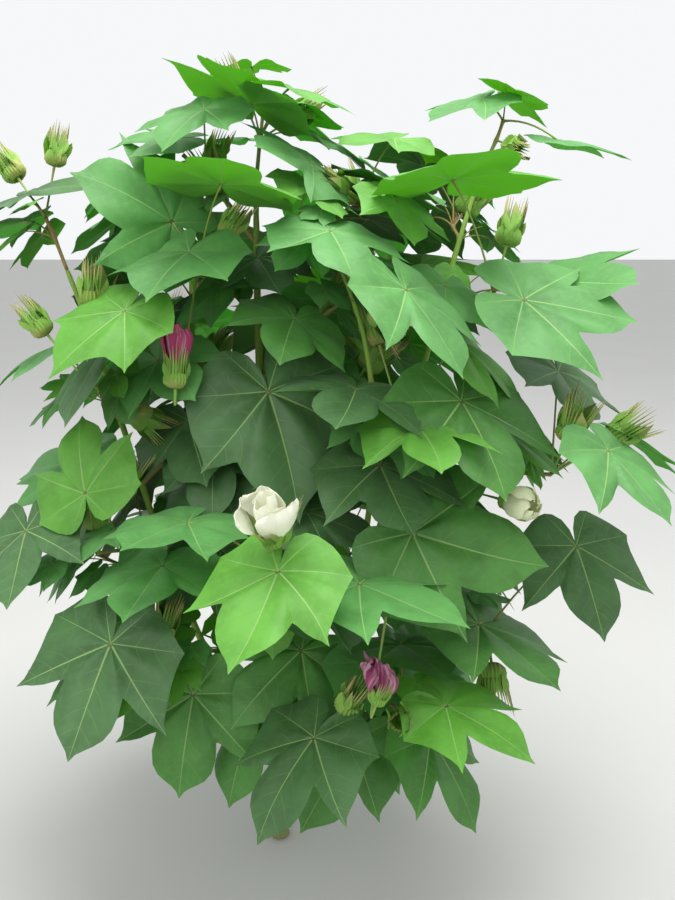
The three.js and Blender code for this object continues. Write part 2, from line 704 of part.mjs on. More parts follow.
// One branch as one solid, cut clear of its limb, without the slivers that the cut leaves
function branchSolid(branch, limbGap) {
  let body = solid(tube(branch.points, branch.radii, TWIG_SIDES));
  for (const leaf of branch.leaves) body = body.add(solid(leafGeometry(leaf)));
  for (const fruit of branch.fruit) body = body.add(solid(fruitGeometry(fruit)));
  const pieces = body.subtract(limbGap).decompose();
  return pieces.reduce((largest, piece) => (piece.volume() > largest.volume() ? piece : largest));
}

const bark = new THREE.MeshStandardMaterial({ color: 0x7a7a48, roughness: 0.75, metalness: 0 });
const foliage = new THREE.MeshStandardMaterial({ color: 0x4f7a38, roughness: 0.6, metalness: 0 });
const plant = new THREE.Group();

function addNode(name, body, material) {
  const mesh = new THREE.Mesh(geometryOf(body), material.clone());
  mesh.name = name;
  plant.add(mesh);
}

// Limbs first, then all twigs, then what shows, then the leaves by the rule
const mainCurve = new THREE.CubicBezierCurve3(...LIMBS.main_stem.handles.map(point));
const limbs = {};
for (const name of Object.keys(LIMBS)) {
  limbs[name] = limbAxis(name, mainCurve);
  placedRods.push(...rodsAlong(limbs[name].points, limbs[name].radii, name));
}
const shown = SHOWN_BRANCHES.map(({ name, limb, at, end, nodes, seed }) => (
  startBranch(name, limbs[limb], at, point(end), nodes, seed)
));
const ruled = RULE_LIMBS.flatMap((row) => ruleBranches(row, limbs[row.limb]));
const branches = [...shown, ...ruled];
SHOWN_BRANCHES.forEach(({ fruit }, i) => {
  for (const [kind, ...foot] of fruit) addFruit(shown[i], kind, point(foot));
});
SHOWN_BRANCHES.forEach(({ leaves }, i) => {
  leaves.forEach((values, number) => shownLeaf(shown[i], values, number));
});
shown.forEach(keepBranchInSight);
STEM_IN_SIGHT.forEach((share) => keepInSight(mainCurve.getPoint(share)));
ruled.forEach(ruleFruit);
for (let number = 0; number < RULE_LEAVES; number++) branches.forEach((branch) => ruleLeaf(branch, number));

const limbGaps = {};
for (const [name, limb] of Object.entries(limbs)) {
  limbGaps[name] = limbWithGap(limb);
  const body = solid(tube(limb.points, limb.radii, LIMB_SIDES));
  addNode(name, name === 'main_stem' ? body : body.subtract(limbGaps.main_stem), bark);
}
for (const branch of branches) addNode(branch.name, branchSolid(branch, limbGaps[branch.limb]), foliage);

export default plant;
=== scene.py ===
# %% [markdown]
# A cotton plant in bloom
# The measured model of the plant is plain: a stem, five boughs and masses of simple leaves. This lesson keeps
# every place and size of it and grows the finished plant there. The frame is loaded first, because each limb,
# leaf and fruit takes its place from the same rule that made the measured one.

# %% Load the measured plant
import math

import bmesh
import bpy
import numpy as np
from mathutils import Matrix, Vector


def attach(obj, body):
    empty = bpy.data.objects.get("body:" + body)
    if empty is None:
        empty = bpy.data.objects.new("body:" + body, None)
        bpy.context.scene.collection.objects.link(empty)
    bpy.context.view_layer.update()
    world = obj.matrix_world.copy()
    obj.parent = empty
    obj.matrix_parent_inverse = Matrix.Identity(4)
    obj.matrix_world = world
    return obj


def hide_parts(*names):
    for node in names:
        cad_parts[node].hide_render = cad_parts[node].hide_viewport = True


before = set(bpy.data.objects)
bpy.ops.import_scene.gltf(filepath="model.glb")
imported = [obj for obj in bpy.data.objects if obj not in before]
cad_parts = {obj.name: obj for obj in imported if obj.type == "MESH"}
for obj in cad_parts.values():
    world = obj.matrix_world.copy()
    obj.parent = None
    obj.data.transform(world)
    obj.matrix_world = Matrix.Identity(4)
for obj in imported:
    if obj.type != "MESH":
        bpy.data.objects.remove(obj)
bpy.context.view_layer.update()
MM = 0.001

# %% [markdown]
# The camera
# The plant is seen from a little above its top, as by someone who stands in front of it. A camera that looks
# down by some fourteen degrees sees the upper faces of the lower leaves and the undersides of the top ones.

# %% Place the camera
CAMERA_PLACE = (0.079, -1.130, 0.830)
CAMERA_DOWN = math.radians(14.28)
CAMERA_LENS = 38
SENSOR_WIDTH = 36

bpy.ops.object.camera_add(location=CAMERA_PLACE, rotation=(math.pi / 2 - CAMERA_DOWN, 0, 0))
camera = bpy.context.object
camera.data.lens = CAMERA_LENS
camera.data.sensor_width = SENSOR_WIDTH
bpy.context.scene.camera = camera
print("camera", camera.data.lens, "mm")

# %% [markdown]
# The sizes of the plant
# A plant could be sculpted leaf by leaf, but then nothing would keep its leaves clear of each other. A rule
# is kinder: each limb is one curve, each branch grows from a limb, and each leaf is tried at a branch's node
# until it finds room. The sizes are in millimetres, as they are in the measured plant.

# %% Sizes of limbs, leaves and crown
BLADE_CLEAR = 4
OWN_CLEAR = 2
ROD_CLEAR = 2
ROOT_FREE = 26
ROD_STEP = 6
BLADE_STEP = 12

LIMBS = {
    "main_stem": dict(handles=[(0, 0, 0), (0, 0, 300), (-22, 0, 620), (-14, 4, 865)],
                      foot=8.5, tip=3, steps=14),
    "right_bough": dict(handles=[(110, -30, 260), (150, -60, 600), (250, 40, 875)],
                        leaves=0.12, foot=5.6, tip=2.6, steps=11),
    "middle_bough": dict(handles=[(110, -90, 300), (150, -110, 600), (95, -100, 735)],
                         leaves=0.17, foot=5, tip=2.5, steps=9),
    "left_bough": dict(handles=[(-120, -30, 260), (-150, -60, 560), (-225, -48, 765)],
                       leaves=0.15, foot=5.4, tip=2.5, steps=10),
    "back_left_bough": dict(handles=[(-60, 110, 300), (-130, 150, 560), (-120, 190, 780)],
                            leaves=0.19, foot=5.2, tip=2.5, steps=9),
    "back_right_bough": dict(handles=[(60, 120, 290), (140, 140, 550), (150, 170, 775)],
                             leaves=0.14, foot=5.4, tip=2.5, steps=9),
}
LIMB_TAPER = 0.85
FLARE_RADIUS = 6.5
FLARE_HEIGHT = 16
FLARE_RINGS = (10, 32)

LEAF_OUTLINE = [(0, 1), (15, 0.77), (36, 0.56), (52, 0.84), (86, 0.62), (135, 0.44), (180, 0.06)]
SIDE_LOBE = 52
LEAF_DROOP = 0.18
FACE_OUTWARD = 0.55
FACE_SWAY = 0.22
STALK_RADII = (0.9, 1.5, 1.5)
STALK_ARCH = 0.1
STALK_UNDER = -0.15

TWIG_FOOT = 3
TWIG_TIP = 2
TWIG_OF_LIMB = 0.85
TWIG_ROOT_DEPTH = 2
NEAR_TIP = 1 - 1e-4
TWIG_SPACING = 0.9
TWIG_ZIGZAG = (3, 5)
TWIG_BOW = 0.06
NODE_BELOW = 10

FRUIT_HEIGHTS = {"bud": 34, "boll": 38, "bloom": 36, "pale": 32, "pink": 52, "withered": 52}
FRUIT_STALK_RADIUS = 1.4
FRUIT_ROOM = 10
FRUIT_MIDDLE = 20

CROWN_RADIUS = 365
CROWN_MIDDLE = 500
CROWN_HALF_HEIGHT = 560
LOWEST_LEAF = 95
BEST_VIEW = (80, -1130, 830)
SIGHT_REACH = 420
SIGHT_CLEAR = 1
SIGHT_ON_LOBE = 0.65
STEM_IN_SIGHT = (0.74, 0.82, 0.9)
print(len(LIMBS), "limbs")

# %% [markdown]
# The branches that show
# From the front some branches are known one by one. Each is a row: its limb, its place along it, its end and
# its leaves. A leaf has the place of its joint, the azimuth, droop and length of its blade, and a tone: dark
# old leaves are bluish, middle ones plain green, light ones paler, and young ones a bright yellow green.

# %% Branches that show from the front
SHOWN_BRANCHES = [
    dict(name="foliage_top", limb="main_stem", at=1, end=(-5, 5, 935), nodes=2, seed=11,
         leaves=[(-15, -35, 940, -125, -20, 118, "young"), (-35, -30, 910, -135, -5, 108, "light"),
                 (15, 40, 940, -40, 10, 95, "light"), (-10, 30, 950, 90, -25, 70, "young")],
         fruit=[("bud", -25, -15, 945), ("bud", 22, 8, 925)]),
    dict(name="foliage_upper_left", limb="main_stem", at=0.8, end=(-75, -75, 760), nodes=3, seed=12,
         leaves=[(-100, -70, 815, -140, -35, 125, "light"), (-20, -100, 825, -120, -10, 118, "young"),
                 (-70, -90, 690, -105, 10, 100, "light")],
         fruit=[("bud", -45, -70, 800), ("pink", -85, -145, 695)]),
    dict(name="foliage_upper_right", limb="main_stem", at=0.86, end=(105, -15, 835), nodes=3, seed=13,
         leaves=[(60, -50, 885, -120, -15, 100, "light"), (145, 20, 905, -140, 5, 90, "young"),
                 (125, -10, 860, -45, 15, 108, "middle")],
         fruit=[("bud", 85, -48, 850)]),
    dict(name="foliage_middle_top", limb="middle_bough", at=1, end=(70, -105, 795), nodes=2, seed=14,
         leaves=[(65, -140, 815, -75, 25, 105, "light"), (135, -190, 755, -60, 15, 110, "light")],
         fruit=[("boll", 118, -110, 730)]),
    dict(name="foliage_middle_side", limb="middle_bough", at=0.66, end=(150, -150, 600), nodes=2, seed=15,
         leaves=[(205, -180, 640, -55, 20, 130, "middle")],
         fruit=[("boll", 125, -95, 685)]),
    dict(name="foliage_right_top", limb="right_bough", at=1, end=(275, 55, 930), nodes=2, seed=16,
         leaves=[(250, 60, 955, -145, 20, 88, "light"), (280, 65, 955, -60, 10, 72, "young"),
                 (305, 20, 895, -60, 5, 95, "light")],
         fruit=[("bud", 275, 5, 900)]),
    dict(name="foliage_right_upper", limb="right_bough", at=0.8, end=(250, -80, 740), nodes=3, seed=17,
         leaves=[(210, -110, 855, 60, -25, 128, "young"), (320, -60, 750, -55, 5, 118, "light"),
                 (260, -150, 730, -60, 25, 130, "light")],
         fruit=[("bud", 265, -60, 790)]),
    dict(name="foliage_right_middle", limb="right_bough", at=0.56, end=(315, -120, 545), nodes=4, seed=18,
         leaves=[(330, -60, 650, -80, 28, 104, "dark"), (325, -195, 570, -70, 10, 105, "light"),
                 (405, -110, 580, -70, 5, 80, "light")],
         fruit=[("boll", 325, -140, 590), ("boll", 372, -128, 585), ("pale", 270, -165, 530)]),
    dict(name="foliage_right_low", limb="right_bough", at=0.36, end=(250, -140, 370), nodes=3, seed=19,
         leaves=[(345, -130, 465, -60, 12, 107, "dark"), (235, -170, 390, -50, 12, 126, "middle")],
         fruit=[("boll", 250, -165, 340)]),
    dict(name="foliage_front_centre", limb="main_stem", at=0.52, end=(10, -120, 545), nodes=2, seed=20,
         leaves=[(5, -130, 640, -75, 62, 140, "dark")],
         fruit=[("boll", 30, -120, 580)]),
    dict(name="foliage_front_bloom", limb="main_stem", at=0.4, end=(5, -285, 500), nodes=4, seed=21,
         leaves=[(25, -320, 510, -105, 25, 105, "young"), (25, -250, 435, -90, 20, 108, "dark"),
                 (-75, -250, 500, -130, -10, 105, "light")],
         fruit=[("bloom", 15, -305, 535)]),
    dict(name="foliage_front_right", limb="main_stem", at=0.37, end=(130, -235, 440), nodes=3, seed=22,
         leaves=[(155, -215, 510, -25, 17, 140, "middle"), (100, -265, 475, -20, 34, 118, "light"),
                 (112, -140, 560, -100, 28, 112, "dark")],
         fruit=[("withered", 125, -265, 392)]),
    dict(name="foliage_low_left", limb="main_stem", at=0.29, end=(-120, -190, 350), nodes=3, seed=23,
         leaves=[(-155, -230, 395, -120, 50, 118, "dark"), (-105, -190, 465, -100, 8, 110, "light"),
                 (-80, -180, 310, -105, 62, 118, "middle")],
         fruit=[("boll", -115, -215, 365)]),
    dict(name="foliage_left_middle", limb="left_bough", at=0.5, end=(-190, -125, 455), nodes=3, seed=24,
         leaves=[(-260, -150, 490, -85, 30, 103, "dark"), (-190, -160, 535, 110, -45, 98, "young")],
         fruit=[("boll", -165, -120, 520), ("boll", -205, -150, 470)]),
    dict(name="foliage_left_upper", limb="left_bough", at=0.74, end=(-190, -125, 650), nodes=3, seed=25,
         leaves=[(-135, -170, 730, -95, 12, 98, "young"), (-165, -125, 690, -105, 32, 110, "dark")],
         fruit=[("bud", -180, -125, 730), ("bud", -230, -120, 700), ("boll", -175, -130, 615)]),
    dict(name="foliage_left_top", limb="left_bough", at=1, end=(-242, -55, 820), nodes=2, seed=26,
         leaves=[(-235, -110, 770, -50, 10, 88, "light"), (-265, -40, 845, -40, -5, 105, "dark"),
                 (-285, -50, 790, -160, 15, 90, "light")],
         fruit=[("bud", -232, -42, 875), ("bud", -275, -35, 862)]),
    dict(name="foliage_low_front", limb="main_stem", at=0.22, end=(60, -205, 265), nodes=3, seed=27,
         leaves=[(55, -260, 305, -130, 60, 112, "dark"), (25, -170, 325, -130, 10, 110, "middle"),
                 (70, -185, 225, -95, 68, 105, "middle")],
         fruit=[("bud", 85, -230, 320)]),
    dict(name="foliage_low_right", limb="main_stem", at=0.26, end=(150, -200, 300), nodes=3, seed=28,
         leaves=[(190, -250, 335, -25, 28, 100, "young"), (170, -200, 270, -50, 50, 105, "middle"),
                 (150, -150, 355, -65, -5, 100, "middle")],
         fruit=[("bud", 145, -245, 320)]),
]

# Some of these leaves hang turned about their joints: branch and row of each, with azimuth, droop and roll.
TURNED_LEAVES = {
    ("foliage_front_centre", 0): (-54, 60, -20), ("foliage_front_bloom", 0): (-108, 34, -4),
    ("foliage_front_bloom", 2): (-126, 2, 0), ("foliage_front_right", 0): (-3, 18, -50),
    ("foliage_front_right", 1): (-38, 8, 0), ("foliage_low_right", 0): (-34, 13, -3),
    ("foliage_right_low", 0): (-76, 46, 0), ("foliage_right_low", 1): (-48, 18, 10),
    ("foliage_low_front", 0): (-132, 36, 0), ("foliage_low_left", 0): (-122, 56, 16),
    ("foliage_upper_left", 0): (-150, -30, 60), ("foliage_upper_left", 1): (-84, -12, 10),
    ("foliage_right_upper", 0): (-78, -12, 0), ("foliage_right_upper", 1): (-54, 0, -30),
    ("foliage_right_upper", 2): (0, 12, -30), ("foliage_middle_side", 0): (-62, 42, 0),
    ("foliage_top", 0): (-102, -18, 20), ("foliage_left_upper", 0): (-140, 32, 16),
    ("foliage_right_top", 2): (-22, 16, 0),
}
# A few fruits sit a little off their measured places, clear of those leaves or where they show better: branch
# and row of each, with its shift.
SHIFTED_FRUITS = {("foliage_low_left", 0): (0, 34, 8), ("foliage_front_centre", 0): (0, 36, 0),
                  ("foliage_front_bloom", 0): (8, 0, -4), ("foliage_left_middle", 1): (12, 38, 8),
                  ("foliage_left_upper", 2): (26, 42, -6), ("foliage_right_middle", 2): (-16, 0, 0)}
print(len(SHOWN_BRANCHES), "branches show, and", len(TURNED_LEAVES), "of their leaves hang turned")

# %% Branches and leaves by the rule
RULE_LIMBS = [
    dict(limb="main_stem", start=0.3, end=0.9, count=7, azimuth=90, seed=101),
    dict(limb="right_bough", start=0.42, end=0.88, count=3, azimuth=40, seed=202),
    dict(limb="left_bough", start=0.4, end=0.86, count=3, azimuth=170, seed=303),
    dict(limb="back_left_bough", start=0.32, end=1, count=6, azimuth=100, seed=404),
    dict(limb="back_right_bough", start=0.32, end=1, count=6, azimuth=60, seed=505),
]
RULE_TURN = 137.5
RULE_RETURN = 25
RULE_LIFT = (10, 55)
RULE_REACH = (0.4, 0.6)
RULE_SHORTEST = 60
RULE_MARGIN = 70
RULE_FRONT = -60
RULE_NODES = 3
RULE_LEAVES = 8
LEAF_TURN = (0, 90)
LEAF_LIFT = (0, 70)
LEAF_STALK = (55, 125)
LEAF_LENGTH = (95, 135)
LEAF_OUTWARD = 0.4
LEAF_SWAY = 25
STEEPEST_DROOP = (60, 30)
HIGH_FROM = 500
HIGH_SPAN = 450
HIGH_SIZE = 0.72
FRUIT_SHARE = 0.3
FRUIT_LIFT = 50
FRUIT_REACH = 20
TRIES = 24
SHOWN_SWAY = 2
SEED_STRIDE = 1000
FINE_LEAVES = 9
FINE_SEED = 600
FINE_STALK = (26, 62)
FINE_LENGTH = (38, 78)
UP = np.array((0.0, 0.0, 1.0))
print(sum(row["count"] for row in RULE_LIMBS), "branches are tried by the rule")

# %% [markdown]
# Small tools for the rule
# Random numbers come from a small generator that gives the same plant on every run. The rest are the few
# pieces of geometry that the rule needs: a curve through its handles, a heading, and a distance to a segment.

# %% Draws, headings and curves
MODULUS = 2147483647
MULTIPLIER = 16807
SEED_FACTOR = 7919
SEED_START = 17


def draws(seed):
    """A function that draws seeded numbers between two limits."""
    state = seed * SEED_FACTOR + SEED_START

    def draw(low=0.0, high=1.0):
        nonlocal state
        state = state * MULTIPLIER % MODULUS
        return low + (high - low) * (state / MODULUS)

    return draw


def leaf_draws(branch, number, attempt):
    return draws(branch["seed"] * SEED_STRIDE + number * TRIES + attempt)


def mix(low, high, share):
    return low + (high - low) * share


def unit(vector):
    return vector / np.linalg.norm(vector)


def heading(azimuth, lift):
    """Unit vector with an azimuth and a lift above the horizontal, in degrees."""
    along, up = math.radians(azimuth), math.radians(lift)
    return np.array((math.cos(up) * math.cos(along), math.cos(up) * math.sin(along), math.sin(up)))


def azimuth_of(vector):
    return math.degrees(math.atan2(vector[1], vector[0]))


def sway(draw, size):
    return np.array([draw(-size, size) for _ in range(3)])


def curve_point(handles, share):
    rest = 1 - share
    first, second, third, last = handles
    middle = 3 * rest * rest * share * second + 3 * rest * share * share * third
    return rest ** 3 * first + middle + share ** 3 * last


def ring_tangents(points):
    ahead = np.vstack((points[1:], points[-1:]))
    behind = np.vstack((points[:1], points[:-1]))
    along = ahead - behind
    return along / np.linalg.norm(along, axis=1, keepdims=True)


def distance_to_segment(place, start, end):
    along = end - start
    share = np.clip(((place - start) * along).sum(-1) / (along * along).sum(-1), 0, 1)
    return np.linalg.norm(place - start - along * share[..., None], axis=-1)


# %% [markdown]
# The limbs
# The main stem is a single curve with a flare where it meets the ground, and each bough leaves it low down
# and tapers to its tip. Their radii follow one formula, so a branch can ask how thick its limb is there.

# %% Axes and radii of the limbs
def limb_radius(limb, share, height):
    taper = limb["tip"] + (limb["foot"] - limb["tip"]) * (1 - share) ** LIMB_TAPER
    flare = FLARE_RADIUS * math.exp(-height / FLARE_HEIGHT) if limb["name"] == "main_stem" else 0
    return taper + flare


def limb_axis(name, main_handles):
    limb = {"name": name, **LIMBS[name]}
    handles = [np.array(handle, float) for handle in limb["handles"]]
    if "leaves" in limb:
        handles.insert(0, curve_point(main_handles, limb["leaves"]))
    limb["handles"] = handles
    points = [curve_point(handles, i / limb["steps"]) for i in range(limb["steps"] + 1)]
    if name == "main_stem":
        points[1:1] = [np.array((0.0, 0.0, height)) for height in FLARE_RINGS]
    last = len(points) - 1
    limb["points"] = np.array(points)
    limb["radii"] = [limb_radius(limb, i / last, place[2]) for i, place in enumerate(points)]
    return limb


main_handles = [np.array(handle, float) for handle in LIMBS["main_stem"]["handles"]]
limbs = {name: limb_axis(name, main_handles) for name in LIMBS}
print("stem reaches", round(limbs["main_stem"]["points"][-1][2]), "mm")


# %% [markdown]
# Room for every leaf
# Blades and rods are what has been placed so far. A rod is a straight stretch of limb, twig, stalk or fruit.
# A blade is a shallow cone with a lobed outline, so a segment is tested by walking along it: it comes too
# near where it is inside the outline and close to the cone, and it cuts the blade where it changes sides.

# %% What has been placed, and the tests against it
OUTLINE_ANGLES = np.array([row[0] for row in LEAF_OUTLINE], float)
OUTLINE_RADII = np.array([row[1] for row in LEAF_OUTLINE], float)
SIDE_ANGLES = [row[0] for row in LEAF_OUTLINE[1:-1]]
RIM_ANGLES = np.array([180, *[-angle for angle in reversed(SIDE_ANGLES)], 0, *SIDE_ANGLES], float)
EDGES = 2 * len(RIM_ANGLES)
STORE = 3000


class Placed:
    """Arrays that grow as things are placed, with the owner of each row."""

    def __init__(self, **widths):
        self.count = 0
        self.rows = {name: np.zeros((STORE, *shape)) for name, shape in widths.items()}
        self.owners = np.zeros(STORE, dtype=object)

    def add(self, owner, **values):
        for name, value in values.items():
            self.rows[name][self.count] = value
        self.owners[self.count] = owner
        self.count += 1

    def __getitem__(self, name):
        return self.rows[name][: self.count]

    def owned(self, owner):
        return self.owners[: self.count] == owner


rods = Placed(start=(3,), end=(3,), radius=())
blades = Placed(joint=(3,), ahead=(3,), side=(3,), face=(3,), length=(),
                starts=(EDGES, 3), ends=(EDGES, 3))
sights = Placed(start=(3,), end=(3,))


def leaf_radius(angles):
    return np.interp(np.abs(angles), OUTLINE_ANGLES, OUTLINE_RADII)


def near_blade(joint, ahead, side, face, length, start, end, clear):
    """Whether each segment comes near its blade or passes through it."""
    shape = np.broadcast_shapes(joint.shape[:-1], start.shape[:-1])
    vectors = [np.broadcast_to(value, (*shape, 3)) for value in (joint, ahead, side, face, start, end)]
    length, clear = (np.broadcast_to(value, shape) for value in (length, clear))
    near = np.zeros(shape, bool)
    within = distance_to_segment(vectors[0], vectors[4], vectors[5]) <= length + clear
    if not within.any():
        return near
    joint, ahead, side, face, start, end = (value[within][:, None, :] for value in vectors)
    length, clear = length[within][:, None], clear[within][:, None]
    spans = np.linalg.norm(end - start, axis=-1)
    steps = np.maximum(2, np.ceil(spans / BLADE_STEP))
    share = np.minimum(np.arange(int(steps.max()) + 1), steps) / steps
    offset = start + (end - start) * share[..., None] - joint
    forward, sideways = (offset * ahead).sum(-1), (offset * side).sum(-1)
    reach = np.hypot(forward, sideways)
    rim = leaf_radius(np.degrees(np.arctan2(sideways, forward)))
    inside = reach < rim * length + clear
    height = (offset * face).sum(-1) + LEAF_DROOP * rim * reach
    close = (inside & (np.abs(height) < clear)).any(-1)
    crossed = (height[:, :-1] * height[:, 1:] < 0) & (inside[:, :-1] | inside[:, 1:])
    near[within] = close | crossed.any(-1)
    return near


def blade_frames(chosen):
    return [blades[name][chosen] for name in ("joint", "ahead", "side", "face")]


def leaf_frame(leaf):
    return leaf["joint"], leaf["ahead"], leaf["side"], leaf["face"], leaf["length"]


print(len(RIM_ANGLES), "corners and", EDGES, "test edges on a blade")


# %% The tests that a leaf, a stalk and a twig have to pass
def blade_is_free(leaf, shown):
    if leaf["ends"][:, 2].min() <= LOWEST_LEAF:
        return False
    own = rods.owned(leaf["owner"])
    clear = np.where(own, OWN_CLEAR, rods["radius"] + ROD_CLEAR)
    wanted = ~own if shown else np.ones(rods.count, bool)
    if near_blade(*leaf_frame(leaf), rods["start"][wanted], rods["end"][wanted], clear[wanted]).any():
        return False
    apart = np.linalg.norm(blades["joint"] - leaf["joint"], axis=1)
    chosen = np.flatnonzero(apart <= blades["length"] + leaf["length"])
    if not len(chosen):
        return True
    clear = np.where(blades.owned(leaf["owner"])[chosen], OWN_CLEAR, BLADE_CLEAR)[:, None]
    frames = [value[:, None, :] for value in blade_frames(chosen)]
    lengths = blades["length"][chosen][:, None]
    if near_blade(*frames, lengths, leaf["starts"][None], leaf["ends"][None], clear).any():
        return False
    starts, ends = blades["starts"][chosen], blades["ends"][chosen]
    return not near_blade(*leaf_frame(leaf), starts, ends, clear).any()


def rod_is_free(start, end, radius, branch, shown=False):
    others = ~rods.owned(branch["name"])
    if others.any():
        steps = max(1, math.ceil(np.linalg.norm(end - start) / ROD_STEP))
        shares = np.arange(steps + 1)[:, None] / steps
        places = start + (end - start) * shares
        starts, ends = rods["start"][others][None], rods["end"][others][None]
        apart = distance_to_segment(places[:, None, :], starts, ends)
        touching = apart < radius + rods["radius"][others] + ROD_CLEAR
        by_root = np.linalg.norm(places - branch["root"], axis=1) < ROOT_FREE
        own_limb = rods.owned(branch["limb"])[others]
        touching[by_root[:, None] & own_limb[None, :]] = False
        if touching.any():
            return False
    own = blades.owned(branch["name"])
    wanted = ~own if shown else np.ones(blades.count, bool)
    clear = np.where(own, OWN_CLEAR, radius + ROD_CLEAR)[wanted]
    chosen = np.flatnonzero(wanted)
    return not near_blade(*blade_frames(chosen), blades["length"][chosen], start, end, clear).any()


def crown_radius(height):
    share = (np.asarray(height) - CROWN_MIDDLE) / CROWN_HALF_HEIGHT
    return CROWN_RADIUS * np.sqrt(np.maximum(0, 1 - share ** 2))


def inside_crown(leaf):
    ends = leaf["ends"]
    if (np.hypot(ends[:, 0], ends[:, 1]) >= crown_radius(ends[:, 2])).any():
        return False
    return not near_blade(*leaf_frame(leaf), sights["start"], sights["end"], SIGHT_CLEAR).any()


def add_rods(owner, points, radii):
    for i in range(len(points) - 1):
        rods.add(owner, start=points[i], end=points[i + 1], radius=(radii[i] + radii[i + 1]) / 2)


for name, limb in limbs.items():
    add_rods(name, limb["points"], limb["radii"])
print(rods.count, "stretches of limb placed")


# %% [markdown]
# Leaves, twigs and fruit by the rule
# A blade's frame has the way it points, its side and its face, which looks up and a little outwards. A stalk
# rises from its node to the blade's joint in a shallow arch. Both are tried together, and a leaf with no room
# is drawn again a few times before it is left out.

# %% Blades on their stalks
BLADE_ROWS = ("joint", "ahead", "side", "face", "length", "starts", "ends")


def blade_along(joint, chord, facing, length):
    ahead = unit(chord + facing * LEAF_DROOP)
    face = unit(facing - chord * LEAF_DROOP)
    return dict(joint=joint, ahead=ahead, face=face, side=np.cross(face, ahead), length=length)


def blade(joint, azimuth, droop, length, draw):
    chord = heading(azimuth, -droop)
    outward = unit(np.array((joint[0], joint[1], 0.0)))
    facing = UP + outward * FACE_OUTWARD + sway(draw, FACE_SWAY)
    return blade_along(joint, chord, unit(facing - chord * (facing @ chord)), length)


def turn_blade(leaf, azimuth, droop, roll):
    """Turns a grown blade about its joint, to an azimuth, a droop and a roll."""
    chord = heading(azimuth, -droop)
    level = unit(np.cross(UP, chord))
    turn = math.radians(roll)
    facing = math.cos(turn) * np.cross(chord, level) + math.sin(turn) * level
    leaf.update(blade_along(leaf["joint"], chord, facing, leaf["length"]))
    add_edges(leaf)
    for name in BLADE_ROWS:
        blades.rows[name][leaf["row"]] = leaf[name]


def add_edges(leaf):
    """The edges that stand for a blade when it is tested against others."""
    rim = blade_points(leaf, RIM_ANGLES)
    leaf["starts"] = np.vstack((np.repeat(leaf["joint"][None], len(rim), 0), rim))
    leaf["ends"] = np.vstack((rim, np.roll(rim, -1, 0)))


def blade_points(leaf, angles, share=1.0):
    rim = leaf_radius(angles)
    reach = rim * leaf["length"] * share
    along = np.outer(np.cos(np.radians(angles)) * reach, leaf["ahead"])
    across = np.outer(np.sin(np.radians(angles)) * reach, leaf["side"])
    return leaf["joint"] + along + across - np.outer(LEAF_DROOP * rim * reach, leaf["face"])


def try_leaf(branch, node, joint, azimuth, droop, length, draw, shown=False, tone=None):
    leaf = blade(joint, azimuth, droop, length, draw)
    add_edges(leaf)
    leaf["owner"] = branch["name"]
    leaf["row"] = blades.count
    middle = mix(node, joint, 0.5) + UP * STALK_ARCH * np.linalg.norm(joint - node)
    if unit(middle - joint) @ leaf["face"] > STALK_UNDER:
        return False
    if not shown and not inside_crown(leaf):
        return False
    if not blade_is_free(leaf, shown):
        return False
    stalk = (node, middle, joint)
    for i in range(2):
        radius = (STALK_RADII[i] + STALK_RADII[i + 1]) / 2
        if not rod_is_free(stalk[i], stalk[i + 1], radius, branch, shown):
            return False
    blades.add(branch["name"], **{name: leaf[name] for name in BLADE_ROWS})
    add_rods(branch["name"], stalk, STALK_RADII)
    leaf.update(stalk=stalk, tone=tone, seed=branch["seed"] * SEED_STRIDE + len(branch["leaves"]))
    branch["leaves"].append(leaf)
    return True


print("stalks rise by", STALK_ARCH, "of their length")


# %% Twigs and fruit
def start_branch(name, limb, at, end, nodes, seed):
    root = curve_point(limb["handles"], at)
    draw = draws(seed)
    if at == 1:
        root = root - unit(root - curve_point(limb["handles"], NEAR_TIP)) * TWIG_ROOT_DEPTH
    along = end - root
    sideways = unit(np.cross(along, UP))
    points = [root]
    for i in range(1, nodes + 1):
        share = (i / nodes) ** TWIG_SPACING
        place = root + along * share + UP * np.linalg.norm(along) * TWIG_BOW * math.sin(math.pi * share)
        if i < nodes:
            place = place + sideways * (1 if i % 2 else -1) * draw(*TWIG_ZIGZAG)
        points.append(place)
    foot = min(TWIG_FOOT, limb_radius(limb, at, root[2]) * TWIG_OF_LIMB)
    radii = [mix(foot, min(foot, TWIG_TIP), i / nodes) for i in range(nodes + 1)]
    branch = dict(name=name, limb=limb["name"], seed=seed, root=root, points=points, radii=radii,
                  nodes=points[1:], leaves=[], fruit=[])
    for i in range(nodes):
        if not rod_is_free(points[i], points[i + 1], (radii[i] + radii[i + 1]) / 2, branch):
            return None
    add_rods(name, points, radii)
    return branch


def nearest_node(branch, place):
    below = [node for node in branch["nodes"] if node[2] < place[2] - NODE_BELOW]
    return min(below or branch["nodes"], key=lambda node: np.linalg.norm(node - place))


def add_fruit(branch, kind, foot):
    node = nearest_node(branch, foot)
    axis = unit(foot - node)
    points = (node, foot, foot + axis * FRUIT_HEIGHTS[kind])
    radii = (FRUIT_STALK_RADIUS, FRUIT_ROOM, FRUIT_ROOM)
    for i in range(2):
        if not rod_is_free(points[i], points[i + 1], (radii[i] + radii[i + 1]) / 2, branch):
            return
    add_rods(branch["name"], points, radii)
    branch["fruit"].append(dict(kind=kind, node=node, foot=foot, axis=axis))


